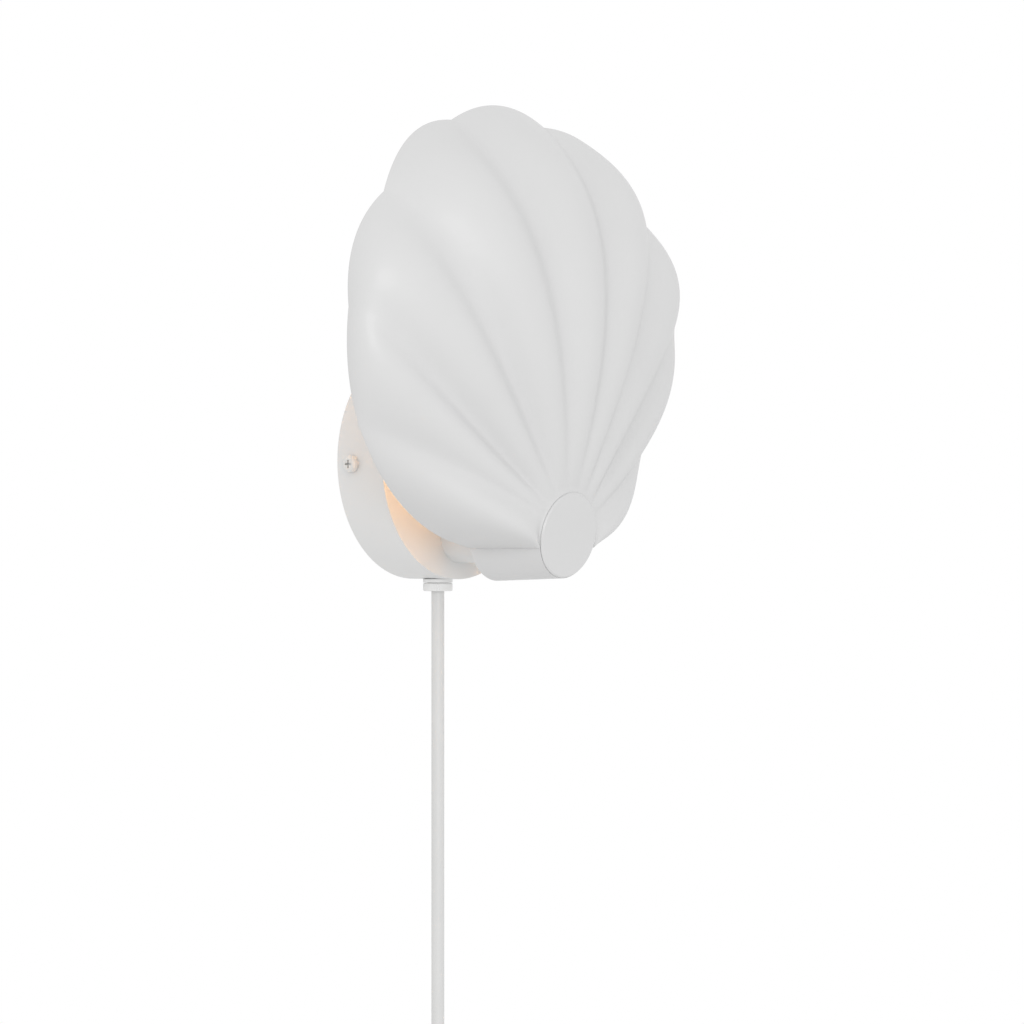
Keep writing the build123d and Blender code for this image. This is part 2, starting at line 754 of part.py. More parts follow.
with BuildPart() as block_screw:
    with BuildSketch(Plane.XZ.offset(block_back - 1.8)):
        with Locations((0, block_middle)):
            Circle(block_screw_head)
            Rectangle(2 * block_screw_head, 0.6, mode=Mode.SUBTRACT)
    extrude(amount=0.8)
    with BuildSketch(Plane.XZ.offset(block_back - 1.0)):
        with Locations((0, block_middle)):
            Circle(block_screw_head)
    extrude(amount=1.0)
    with BuildSketch(Plane.XZ.offset(block_back)):
        with Locations((0, block_middle)):
            Circle(block_screw_shank)
    extrude(amount=block_depth + canopy_wall - 0.1)
block_screw.part.label = "block_screw"
export_step(block_screw.part, "parts/block_screw.step")

# ---- lamp lead: out of the block, forward through its grommet and up into the nipple ----
with BuildPart() as inner_lead:
    with BuildLine(wall_side) as lead_route:
        FilletPolyline(
            (cord_off, block_foot),
            (cord_off, -lead_drop),
            (lamp_off, -lead_drop),
            (lamp_off, nipple_foot + nipple_length - 2),
            radius=lead_bend,
        )
    with BuildSketch(Plane.XY.offset(block_foot)):
        with Locations((0, -cord_off)):
            Circle(lead_radius)
    sweep(path=lead_route.line)
inner_lead.part.label = "inner_lead"
export_step(inner_lead.part, "parts/inner_lead.step")

with BuildPart() as lead_grommet:
    with BuildSketch(Plane.XZ.offset(canopy_floor - clearance - 1.2)):
        with Locations((0, -lead_drop)):
            Circle(grommet_flange)
    extrude(amount=1.2)
    with BuildSketch(Plane.XZ.offset(canopy_depth + clearance)):
        with Locations((0, -lead_drop)):
            Circle(grommet_flange)
    extrude(amount=1.2)
    with BuildSketch(Plane.XZ.offset(canopy_floor - clearance - 1.2)):
        with Locations((0, -lead_drop)):
            Circle(grommet_neck)
    extrude(amount=canopy_wall + 2 * clearance + 2.4)
    with BuildSketch(Plane.XZ.offset(canopy_floor - clearance - 1.2)):
        with Locations((0, -lead_drop)):
            Circle(lead_radius + cord_gap)
    extrude(amount=canopy_wall + 2 * clearance + 2.4, mode=Mode.SUBTRACT)
lead_grommet.part.label = "lead_grommet"
export_step(lead_grommet.part, "parts/lead_grommet.step")

# ---- the cord's two cores, from the end of its sheath to the block ----
core_run = 5.0
core_turn = math.atan2(core_spread - core_pitch, block_foot - cord_top - 2 * core_run)
core_bend = 0.45 * core_run / math.tan(core_turn / 2)
with BuildPart() as supply_cores:
    for side in (-1, 1):
        with BuildLine(Plane.XZ.offset(cord_off)) as core_route:
            FilletPolyline(
                (side * core_pitch, cord_top),
                (side * core_pitch, cord_top + core_run),
                (side * core_spread, block_foot - core_run),
                (side * core_spread, block_foot),
                radius=core_bend,
            )
        with BuildSketch(Plane.XY.offset(cord_top)):
            with Locations((side * core_pitch, -cord_off)):
                Circle(core_radius)
        sweep(path=core_route.line)
supply_cores.part.label = "supply_cores"
export_step(supply_cores.part, "parts/supply_cores.step")

# ---- cord gland: a flanged bush through the canopy's wall, a cap nut and a lock nut ----
gland_bore = cord_radius + cord_gap
with BuildPart() as cord_gland:
    with BuildSketch(Plane.XY.offset(gland_seat - gland_flange_height)):
        with Locations((0, -cord_off)):
            Circle(gland_flange)
    extrude(amount=gland_flange_height)
    with BuildSketch(Plane.XY.offset(gland_nut_foot + 1.5)):
        with Locations((0, -cord_off)):
            Circle(gland_thread)
    extrude(amount=gland_seat + gland_inside - gland_nut_foot - 1.5)
    with BuildSketch(Plane.XY.offset(gland_nut_foot)):
        with Locations((0, -cord_off)):
            Circle(gland_bore)
    extrude(amount=gland_inside + gland_seat - gland_nut_foot, mode=Mode.SUBTRACT)
    lip = cord_gland.faces().sort_by(Axis.Z)[-1].edges()
    chamfer(lip.sort_by(SortBy.RADIUS)[-1], 0.5)
cord_gland.part.label = "cord_gland"
export_step(cord_gland.part, "parts/cord_gland.step")

with BuildPart() as gland_nut:
    with BuildSketch(Plane.XY.offset(gland_nut_foot)):
        with Locations((0, -cord_off)):
            Circle(gland_flange)
    extrude(amount=gland_nut_height)
    chamfer(gland_nut.faces().sort_by(Axis.Z)[0].edges(), 0.8)
    with BuildSketch(Plane.XY.offset(gland_nut_foot + 1.2)):
        with Locations((0, -cord_off)):
            Circle(gland_thread + thread_play)
    extrude(amount=gland_nut_height, mode=Mode.SUBTRACT)
    with BuildSketch(Plane.XY.offset(gland_nut_foot)):
        with Locations((0, -cord_off)):
            Circle(gland_bore)
    extrude(amount=gland_nut_height, mode=Mode.SUBTRACT)
gland_nut.part.label = "gland_nut"
export_step(gland_nut.part, "parts/gland_nut.step")

locknut_foot = -math.sqrt(canopy_bore**2 - (gland_locknut_width / 1.7) ** 2) + 0.1
with BuildPart() as gland_locknut:
    with BuildSketch(Plane.XY.offset(locknut_foot)):
        with Locations((0, -cord_off)):
            RegularPolygon(gland_locknut_width / 2, 6, major_radius=False)
            Circle(gland_thread + thread_play, mode=Mode.SUBTRACT)
    extrude(amount=gland_locknut_height)
gland_locknut.part.label = "gland_locknut"
export_step(gland_locknut.part, "parts/gland_locknut.step")

# ---- cord: it hangs straight down through the gland and the switch to the coil ----
with BuildPart() as power_cord:
    with BuildSketch(Plane.XY.offset(cord_top)):
        with Locations((0, -cord_off)):
            Circle(cord_radius)
    extrude(amount=coil_height + coil_lead - cord_top)
power_cord.part.label = "power_cord"
export_step(power_cord.part, "parts/power_cord.step")

# ---- put-away coil: it winds in on one layer, climbs, and winds out on the other ----
# Half turns meet at the coil's level middle line. On each layer the radius changes by half a
# pitch from one half turn to the next, so turns that lie side by side are a pitch apart.
coil_route_points = []
at = -coil_radius
for half in range(2 * coil_inward + 2):
    inward = half < coil_inward
    if half <= coil_inward:
        radius = coil_radius - half * coil_pitch / 2
    else:
        radius = coil_radius - (2 * coil_inward - half) * coil_pitch / 2
    bottom = half % 2 == 0
    end = at + 2 * radius if bottom else at - 2 * radius
    start_off = cord_off if half <= coil_inward else second_layer_off
    end_off = cord_off if inward else second_layer_off
    lift = math.hypot(radius, (end_off - start_off) / 2)
    peak = coil_height - lift if bottom else coil_height + lift
    coil_route_points.append(
        (
            (coil_x + at, -start_off, coil_height),
            (coil_x + (at + end) / 2, -(start_off + end_off) / 2, peak),
            (coil_x + end, -end_off, coil_height),
        )
    )
    at = end
coil_exit = coil_route_points[-1][2]
with BuildPart() as cord_coil:
    with BuildLine() as coil_route:
        Line((0, -cord_off, coil_height + coil_lead), (0, -cord_off, coil_height))
        for first, middle, last in coil_route_points:
            ThreePointArc(first, middle, last)
        Line(coil_exit, (coil_exit[0], coil_exit[1], coil_height - plug_lead))
    with BuildSketch(Plane.XY.offset(coil_height + coil_lead)):
        with Locations((0, -cord_off)):
            Circle(cord_radius)
    sweep(path=coil_route.line)
cord_coil.part.label = "cord_coil"
export_step(cord_coil.part, "parts/cord_coil.step")

# the coil's length, its volume against that length, and its least gap to itself
coil_wire = coil_route.wires()[0]
coil_length = coil_wire.length
coil_section = math.pi * cord_radius**2
spots = [coil_wire.position_at(i / 1500) for i in range(1501)]
spacing = coil_length / 1500
apart = int(3 * cord_radius * math.pi / spacing)
least = min(
    (spots[i] - spots[j]).length for i in range(0, 1501, 2) for j in range(i + apart, 1501, 2)
)
tightest = coil_radius - coil_inward * coil_pitch / 2
print("coil length", round(coil_length, 1), "least self-gap", round(least - 2 * cord_radius, 3))
print("coil volume / (section x length)", round(cord_coil.part.volume / coil_section / coil_length, 4))
print("tightest turn radius", tightest, "=", round(tightest / cord_radius / 2, 2), "diameters")
print("cord in all", round(cord_top - coil_height - coil_lead + coil_length, 1))

# ---- tie: a band round the bundle of turns, at the foot of the coil ----
tie_x = coil_x + coil_pitch / 4
bundle_low = coil_height - coil_radius - cord_radius - clearance
inner_turn = coil_radius - (coil_inward - 1) * coil_pitch / 2 - cord_radius
bundle_high = coil_height - math.sqrt(inner_turn**2 - (tie_width / 2 + coil_pitch / 2) ** 2) + clearance
bundle_back = cord_off - cord_radius - clearance
bundle_front = second_layer_off + cord_radius + clearance
with BuildPart() as coil_tie:
    with BuildSketch(Plane.YZ.offset(tie_x - tie_width / 2)) as band:
        with Locations((-(bundle_back + bundle_front) / 2, (bundle_low + bundle_high) / 2)):
            RectangleRounded(
                bundle_front - bundle_back + 2 * tie_thickness,
                bundle_high - bundle_low + 2 * tie_thickness,
                cord_radius * 0.7 + tie_thickness,
            )
            RectangleRounded(
                bundle_front - bundle_back,
                bundle_high - bundle_low,
                cord_radius * 0.7,
                mode=Mode.SUBTRACT,
            )
    extrude(amount=tie_width)
coil_tie.part.label = "coil_tie"
export_step(coil_tie.part, "parts/coil_tie.step")

# ---- in-line switch: two half shells round the cord, with a rocker ----
switch_split = cord_off
switch_front = switch_back + switch_thickness
well_floor = cord_off + cord_radius + cord_gap + rocker_well
screw_spots = [(8.6, switch_height + 23), (-8.6, switch_height - 23)]
with BuildPart() as switch_lower:
    with BuildSketch(Plane.XZ.offset(switch_back)):
        with Locations((0, switch_height)):
            RectangleRounded(switch_width, switch_length, switch_corner)
    extrude(amount=switch_split - switch_back - 0.05)
    fillet(switch_lower.faces().sort_by(Axis.Y)[-1].edges(), 3.0)
    with BuildSketch(Plane.XY.offset(switch_height - switch_length / 2 - 1)):
        with Locations((0, -cord_off)):
            Circle(cord_radius + cord_gap)
    extrude(amount=switch_length + 2, mode=Mode.SUBTRACT)
    with BuildSketch(Plane.XZ.offset(switch_back)):
        with Locations(*screw_spots):
            Circle(2 * switch_screw_shank + clearance)
    extrude(amount=2.5, mode=Mode.SUBTRACT)
    with BuildSketch(Plane.XZ.offset(switch_back)):
        with Locations(*screw_spots):
            Circle(switch_screw_shank + clearance)
    extrude(amount=switch_thickness, mode=Mode.SUBTRACT)
switch_lower.part.label = "switch_lower"
export_step(switch_lower.part, "parts/switch_lower.step")

rocker_swing = rocker_length / 2 + 0.6
with BuildPart() as switch_upper:
    with BuildSketch(Plane.XZ.offset(switch_split)):
        with Locations((0, switch_height)):
            RectangleRounded(switch_width, switch_length, switch_corner)
    extrude(amount=switch_front - switch_split)
    fillet(switch_upper.faces().sort_by(Axis.Y)[0].edges(), 2.5)
    with BuildSketch(Plane.XY.offset(switch_height - switch_length / 2 - 1)):
        with Locations((0, -cord_off)):
            Circle(cord_radius + cord_gap)
    extrude(amount=switch_length + 2, mode=Mode.SUBTRACT)
    with BuildSketch(Plane.XZ.offset(well_floor)):
        with Locations((0, switch_height)):
            Rectangle(rocker_width + 2 * clearance, 2 * rocker_swing)
    extrude(amount=switch_front - well_floor, mode=Mode.SUBTRACT)
    with BuildSketch(Plane.YZ.offset(-rocker_width / 2 - 1.9)):
        with Locations((-rocker_pivot_off, switch_height)):
            Circle(rocker_pin + running_fit)
    extrude(amount=rocker_width + 3.8, mode=Mode.SUBTRACT)
    with BuildSketch(Plane.XZ.offset(switch_split)):
        with Locations(*screw_spots):
            Circle(switch_screw_shank + thread_play)
    extrude(amount=6.5, mode=Mode.SUBTRACT)
switch_upper.part.label = "switch_upper"
export_step(switch_upper.part, "parts/switch_upper.step")

# the rocker's ends are arcs about its pivot, and it is pressed down at its foot
press = math.radians(rocker_tilt)
rocker_plane = Plane(
    origin=(-rocker_width / 2, -rocker_pivot_off, switch_height),
    x_dir=(0, -math.cos(press), math.sin(press)),
    z_dir=(-1, 0, 0),
)
rocker_half = rocker_length / 2
rocker_rise = 4.2
rocker_foot = -1.3
with BuildPart() as switch_rocker:
    with BuildSketch(rocker_plane):
        with BuildLine():
            top_x = rocker_rise
            top_z = math.sqrt(rocker_half**2 - top_x**2)
            Polyline((top_x, top_z), (rocker_rise - 1.1, 0), (top_x, -top_z))
            foot_z = math.sqrt(rocker_half**2 - rocker_foot**2)
            ThreePointArc((top_x, -top_z), (0.5, -math.sqrt(rocker_half**2 - 0.25)), (rocker_foot, -foot_z))
            Polyline(
                (rocker_foot, -foot_z),
                (rocker_foot, foot_z),
            )
            ThreePointArc((rocker_foot, foot_z), (0.5, math.sqrt(rocker_half**2 - 0.25)), (top_x, top_z))
        make_face()
    extrude(amount=-rocker_width)
    with BuildSketch(Plane.YZ.offset(-rocker_width / 2 - 1.6)):
        with Locations((-rocker_pivot_off, switch_height)):
            Circle(rocker_pin)
    extrude(amount=rocker_width + 3.2)
switch_rocker.part.label = "switch_rocker"
export_step(switch_rocker.part, "parts/switch_rocker.step")

with BuildPart() as switch_screws:
    with BuildSketch(Plane.XZ.offset(switch_back + 0.7)):
        with Locations(*screw_spots):
            Circle(2 * switch_screw_shank)
            Rectangle(3.4, 0.6, mode=Mode.SUBTRACT)
    extrude(amount=0.8)
    with BuildSketch(Plane.XZ.offset(switch_back + 1.5)):
        with Locations(*screw_spots):
            Circle(2 * switch_screw_shank)
    extrude(amount=1.0)
    with BuildSketch(Plane.XZ.offset(switch_back + 2.5)):
        with Locations(*screw_spots):
            Circle(switch_screw_shank)
    extrude(amount=switch_split - switch_back + 3)
switch_screws.part.label = "switch_screws"
export_step(switch_screws.part, "parts/switch_screws.step")

# ---- plug: a tapered relief with slits, a flat moulded body and two round pins ----
with BuildPart() as plug_relief:
    with BuildSketch(Plane.XY.offset(relief_height)):
        with Locations((0, -second_layer_off)):
            Circle(relief_top)
    with BuildSketch(Plane.XY.offset(plug_top)):
        with Locations((0, -second_layer_off)):
            Circle(relief_foot)
    loft()
    for ring in range(5):
        z = relief_height - 4 - ring * relief_length / 6
        with BuildSketch(Plane.XY.offset(z)):
            for side in (-1, 1):
                with Locations((side * (1.6 + 4), -second_layer_off)):
                    Rectangle(8, 12)
        extrude(amount=-1.2, mode=Mode.SUBTRACT)
plug_relief.part.label = "plug_relief"
export_step(plug_relief.part, "parts/plug_relief.step")

with BuildPart() as plug_body:
    with BuildSketch(Plane.XY.offset(plug_top)):
        with Locations((0, -second_layer_off)):
            RectangleRounded(plug_width * 0.42, plug_thickness * 0.9, plug_thickness * 0.4)
    with BuildSketch(Plane.XY.offset(plug_top - plug_length * 0.62)):
        with Locations((0, -second_layer_off)):
            RectangleRounded(plug_width, plug_thickness, plug_thickness * 0.4)
    loft()
    with BuildSketch(Plane.XY.offset(plug_foot)):
        with Locations((0, -second_layer_off)):
            RectangleRounded(plug_width, plug_thickness, plug_thickness * 0.4)
    extrude(amount=plug_length * 0.38)
    fillet(plug_body.faces().sort_by(Axis.Z)[0].edges(), 1.0)
    with BuildSketch(Plane.XY.offset(plug_foot)):
        with Locations((0, -second_layer_off)):
            with GridLocations(pin_spacing, 0, 2, 1):
                Circle(pin_radius + thread_play)
    extrude(amount=10, mode=Mode.SUBTRACT)
plug_body.part.label = "plug_body"
export_step(plug_body.part, "parts/plug_body.step")

with BuildPart() as plug_pins:
    with BuildSketch(Plane.XY.offset(plug_foot - pin_length)):
        with Locations((0, -second_layer_off)):
            with GridLocations(pin_spacing, 0, 2, 1):
                Circle(pin_radius)
    extrude(amount=pin_length + 9.5)
    fillet(plug_pins.faces().filter_by(GeomType.PLANE).group_by(Axis.Z)[0].edges(), 1.2)
plug_pins.part.label = "plug_pins"
export_step(plug_pins.part, "parts/plug_pins.step")
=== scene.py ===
import logging
import math
from dataclasses import dataclass
from enum import Enum
from typing import NamedTuple, Sequence

import bmesh
import bpy
import numpy as np
from numpy.typing import NDArray
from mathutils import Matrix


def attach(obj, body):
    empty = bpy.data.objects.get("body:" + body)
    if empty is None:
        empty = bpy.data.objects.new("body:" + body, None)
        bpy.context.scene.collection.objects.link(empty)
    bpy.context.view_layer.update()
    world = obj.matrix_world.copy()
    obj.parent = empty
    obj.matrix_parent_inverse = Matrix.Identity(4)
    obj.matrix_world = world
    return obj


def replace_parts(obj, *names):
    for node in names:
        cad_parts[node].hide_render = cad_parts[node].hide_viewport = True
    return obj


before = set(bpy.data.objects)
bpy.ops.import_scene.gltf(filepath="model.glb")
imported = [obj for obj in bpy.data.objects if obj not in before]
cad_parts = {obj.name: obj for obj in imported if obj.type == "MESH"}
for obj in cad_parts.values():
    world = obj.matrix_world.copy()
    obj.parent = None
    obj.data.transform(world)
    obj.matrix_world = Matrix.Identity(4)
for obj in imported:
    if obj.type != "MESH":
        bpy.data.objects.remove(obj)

# Plug-in wall light with a scallop shell shade. Metres in Blender; the sizes in the classes are
# millimetres. +Z is up, the wall is the plane Y = 0, and the light stands out along -Y.

Array = NDArray[np.float64]
Colour = tuple[float, float, float]
Point = tuple[float, float, float]
Piece = bpy.types.Object
Node = bpy.types.ShaderNode

MM = 0.001
BODY = "wall_light"

# Shared by several pieces: the hub's drop and its end's lean, how far off the wall the cord and
# the lamp stand, and the height of the cord's upper end.
HUB_DROP = 33.9
HUB_TILT = 9.4
CORD_OFF = 14.5
CORD_TOP = -24.0
LAMP_OFF = 60.0

log = logging.getLogger("wall_light")


# ---- surfaces

# Points nearer to each other than this, in metres, become one.
WELD = 2e-7


class Edge(Enum):
    """Angle in degrees from which an edge of a piece is shaded as a sharp one."""

    CRISP = 32.0
    SHARP = 20.0


def linked(name: str, data: bpy.types.ID) -> Piece:
    """Puts a new object into the scene.

    Args:
        name: Name of the object.
        data: Its mesh, curve, light or camera.

    Returns:
        The object.
    """
    made = bpy.data.objects.new(name, data)
    bpy.context.scene.collection.objects.link(made)
    return made


@dataclass
class Skin:
    """Points in millimetres and four-cornered faces of one surface, or of several together.

    Attributes:
        points: One row of X, Y and Z for each point.
        quads: One row of four point numbers for each face.
    """

    points: Array
    quads: NDArray[np.int64]

    @classmethod
    def grid(cls, points: Array, round_rows: bool = False, round_columns: bool = False) -> "Skin":
        """Surface over a grid: each face joins point (i, j) to its neighbours in row and column.

        Args:
            points: Grid of points, rows by columns by three.
            round_rows: The last row joins the first.
            round_columns: The last column joins the first.

        Returns:
            The surface.
        """
        rows, columns = points.shape[:2]
        i, j = np.meshgrid(
            np.arange(rows if round_rows else rows - 1),
            np.arange(columns if round_columns else columns - 1),
            indexing="ij",
        )
        k, m = (i + 1) % rows, (j + 1) % columns
        corners = [i * columns + j, k * columns + j, k * columns + m, i * columns + m]
        return cls(points.reshape(-1, 3), np.stack([c.ravel() for c in corners], -1))

    def __add__(self, other: "Skin") -> "Skin":
        """Both surfaces in one."""
        return Skin(
            np.concatenate([self.points, other.points]),
            np.concatenate([self.quads, other.quads + len(self.points)]),
        )

    def mesh(self, name: str) -> bpy.types.Mesh:
        """The surface as a mesh in metres.

        Args:
            name: Name of the mesh.

        Returns:
            The mesh.
        """
        made = bpy.data.meshes.new(name)
        made.from_pydata((self.points * MM).tolist(), [], self.quads.tolist())
        return made

    def piece(self, name: str, body: str = BODY, edges: Edge = Edge.CRISP) -> Piece:
        """Puts the surface into the scene, closed, with its faces outwards.

        Args:
            name: Name of the piece.
            body: Body of the frame that it rides on.
            edges: How its edges are shaded.

        Returns:
            The new object.
        """
        mesh = self.mesh(name)
        shape = bmesh.new()
        shape.from_mesh(mesh)
        bmesh.ops.remove_doubles(shape, verts=shape.verts, dist=WELD)
        bmesh.ops.recalc_face_normals(shape, faces=shape.faces)
        shape.to_mesh(mesh)
        shape.free()
        mesh.shade_smooth()
        mesh.set_sharp_from_angle(angle=math.radians(edges.value))
        made = linked(name, mesh)
        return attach(made, body)


def rounded(corners: Sequence[Point], steps: int = 7) -> Array:
    """Outline through corners, each rounded to an arc that is tangent to both its sides.

    A curve from the tangent point on one side to the one on the other is pulled to the corner
    by the sine of half the angle between the sides, which makes it a true arc. A radius of
    nought gives the corner itself.

    Args:
        corners: Each corner's two coordinates and radius, in order round a closed outline.
        steps: Points on each arc.

    Returns:
        The points of the outline, corners times steps by two.
    """
    table = np.array(corners, float)
    corner, radius = table[:, :2], table[:, 2:]
    back, on = np.roll(corner, 1, 0) - corner, np.roll(corner, -1, 0) - corner
    back /= np.linalg.norm(back, axis=1, keepdims=True)
    on /= np.linalg.norm(on, axis=1, keepdims=True)
    half = np.arccos(np.clip((back * on).sum(1, keepdims=True), -1, 1)) / 2
    reach = radius / np.tan(half)
    s = np.linspace(0, 1, steps)[None, :, None]
    weights = [(1 - s) ** 2, 2 * s * (1 - s) * np.sin(half)[:, None], s**2]
    marks = [corner + reach * back, corner, corner + reach * on]
    total = sum(w * p[:, None] for w, p in zip(weights, marks))
    return (total / sum(weights)).reshape(-1, 2)


def bezier(points: Array, shares: Array) -> Array:
    """Cubic curves, each pulled by four control points.

    At share u the points count by (1 - u) cubed, three times (1 - u) squared times u, three
    times (1 - u) times u squared, and u cubed.

    Args:
        points: Four control points of each line, lines by four by two.
        shares: Where to read the curves, from 0 to 1.

    Returns:
        A point for each line and share, lines by shares by two.
    """
    u = shares[None, :, None]
    p = [points[:, None, i] for i in range(4)]
    first = (1 - u) ** 3 * p[0] + 3 * (1 - u) ** 2 * u * p[1]
    return first + 3 * (1 - u) * u**2 * p[2] + u**3 * p[3]


def turned(
    profile: Array, origin: Point, axis: Point, around: int, swell: Array | None = None
) -> Skin:
    """Surface of revolution: a closed profile turned once round an axis.

    A point at angle a is the origin, plus the height along the axis, plus the radius times
    cosine a across and sine a square to both.

    Args:
        profile: Radius and height of each point of the closed outline.
        origin: A point on the axis.
        axis: Direction of the axis.
        around: Steps round the turn.
        swell: Added to the radius, for each step and each point of the profile.

    Returns:
        The turned surface.
    """
    along = np.array(axis, float) / np.linalg.norm(axis)
    helper = np.array([1.0, 0, 0]) if abs(along[0]) < 0.9 else np.array([0, 0, 1.0])
    across = np.cross(along, helper)
    across /= np.linalg.norm(across)
    third = np.cross(along, across)
    angle = np.linspace(0, 2 * np.pi, around, endpoint=False)[:, None, None]
    radius = profile[None, :, :1] + (0 if swell is None else swell[:, :, None])
    spoke = np.cos(angle) * across + np.sin(angle) * third
    points = np.array(origin) + profile[None, :, 1:] * along + radius * spoke
    return Skin.grid(points, round_rows=True, round_columns=True)


def smooth_tube(name: str, points: Array, radius: float) -> Piece:
    """Round tube along a smooth spline.

    Args:
        name: Name of the piece.
        points: Control points, each across, off the wall and up.
        radius: Radius of the tube.

    Returns:
        The curve, on the light's body.
    """
    curve = bpy.data.curves.new(name, "CURVE")
    curve.dimensions = "3D"
    curve.bevel_depth = 1.0
    curve.bevel_resolution = 6
    curve.resolution_u = 6
    curve.use_fill_caps = True
    spline = curve.splines.new("NURBS")
    spline.points.add(len(points) - 1)
    places = np.insert(points * (MM, -MM, MM), 3, 1.0, axis=1)
    spline.points.foreach_set("co", places.ravel())
    spline.points.foreach_set("radius", np.full(len(points), radius * MM))
    spline.order_u = 3
    spline.use_endpoint_u = True
    made = linked(name, curve)
    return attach(made, BODY)


# ---- finishes

# Where the dark tone of a finish ends and its light tone begins, as shares of the noise.
TONE_ENDS = (0.3, 0.7)


class Grain(Enum):
    """Kind of fine relief: the pattern's node, its output, and its own setting."""

    ORANGE_PEEL = ("ShaderNodeTexNoise", "Fac", {"Detail": 3.0})
    SPARK = ("ShaderNodeTexVoronoi", "Distance", {})
    WOVEN = ("ShaderNodeTexWave", "Fac", {"Distortion": 2.5})


@dataclass(frozen=True)
class Finish:
    """A finish with two tones in soft clouds, a roughness that wanders, and a fine relief.

    Attributes:
        name: Name of the material.
        light: Its lighter tone, linear.
        dark: Its darker tone, linear.
        cloud: Size of the clouds of tone, in millimetres.
        grain: Size of the relief's grain, in millimetres.
        relief: Height of the relief, in millimetres.
        rough: Least and most roughness.
        metal: Metallic share.
        coat: Weight of a clear coat.
        kind: Kind of relief.
        stretch: Scale of the pattern along X, Y and Z, for a finish drawn out in one direction.
    """

    name: str
    light: Colour
    dark: Colour
    cloud: float = 30.0
    grain: float = 0.9
    relief: float = 0.01
    rough: tuple[float, float] = (0.35, 0.45)
    metal: float = 0.0
    coat: float = 0.0
    kind: Grain = Grain.ORANGE_PEEL
    stretch: Point = (1.0, 1.0, 1.0)

    def material(self) -> bpy.types.Material:
        """The finish as a node material, made once.

        One noise gives the tone and the roughness, and a finer pattern gives the relief.

        Returns:
            The material.
        """
        known = bpy.data.materials.get(self.name)
        if known:
            return known
        made = bpy.data.materials.new(self.name)
        made.use_nodes = True
        nodes, join = made.node_tree.nodes, made.node_tree.links.new
        shader = nodes["Principled BSDF"]
        shader.inputs["Metallic"].default_value = self.metal
        shader.inputs["Coat Weight"].default_value = self.coat
        place = nodes.new("ShaderNodeTexCoord")
        laid = nodes.new("ShaderNodeMapping")
        laid.inputs["Scale"].default_value = self.stretch
        join(place.outputs["Object"], laid.inputs["Vector"])

        clouds = nodes.new("ShaderNodeTexNoise")
        clouds.inputs["Scale"].default_value = 1 / (self.cloud * MM)
        clouds.inputs["Detail"].default_value = 4.0
        join(laid.outputs["Vector"], clouds.inputs["Vector"])
        tones = nodes.new("ShaderNodeValToRGB")
        stops = tones.color_ramp.elements
        for stop, end, tone in zip(stops, TONE_ENDS, (self.dark, self.light)):
            stop.position = end
            stop.color = (*tone, 1)
        join(clouds.outputs["Fac"], tones.inputs["Fac"])
        join(tones.outputs["Color"], shader.inputs["Base Color"])

        gloss = nodes.new("ShaderNodeMapRange")
        gloss.inputs["To Min"].default_value, gloss.inputs["To Max"].default_value = self.rough
        join(clouds.outputs["Fac"], gloss.inputs["Value"])
        join(gloss.outputs["Result"], shader.inputs["Roughness"])

        pattern, height, settings = self.kind.value
        grain = nodes.new(pattern)
        for setting, value in settings.items():
            grain.inputs[setting].default_value = value
        grain.inputs["Scale"].default_value = 1 / (self.grain * MM)
        join(laid.outputs["Vector"], grain.inputs["Vector"])
        bump = nodes.new("ShaderNodeBump")
        bump.inputs["Distance"].default_value = self.relief * MM
        join(grain.outputs[height], bump.inputs["Height"])
        join(bump.outputs["Normal"], shader.inputs["Normal"])
        self.extend(made, shader, clouds)
        return made

    def extend(self, made: bpy.types.Material, shader: Node, clouds: Node) -> None:
        """What a special finish adds to the plain one: nothing here."""

    def dress(self, piece: Piece, slot: str) -> Piece:
        """Gives a piece this finish.

        Args:
            piece: The piece, new or from the frame.
            slot: Slot of the record that the finish stands for. Not used.

        Returns:
            The piece.
        """
        piece.data.materials.clear()
        piece.data.materials.append(self.material())
        return piece


@dataclass(frozen=True)
class LitOpal(Finish):
    """Opal glass with a warm light behind it, a little dimmer in some places.

    Attributes:
        glow: Colour of the light, linear.
        dim: Share of that colour in the dimmer places.
        strength: Strength of the light.
    """

    glow: Colour = (1.0, 0.53, 0.2)
    dim: float = 0.9
    strength: float = 34.0

    def extend(self, made: bpy.types.Material, shader: Node, clouds: Node) -> None:
        """Adds the light to the glass.

        Args:
            made: The material.
            shader: Its shader.
            clouds: The noise that its tones follow.
        """
        nodes, join = made.node_tree.nodes, made.node_tree.links.new
        warm = nodes.new("ShaderNodeValToRGB")
        low, high = warm.color_ramp.elements
        low.color = (*(c * self.dim for c in self.glow), 1)
        high.color = (*self.glow, 1)
        join(clouds.outputs["Fac"], warm.inputs["Fac"])
        join(warm.outputs["Color"], shader.inputs["Emission Color"])
        shader.inputs["Emission Strength"].default_value = self.strength


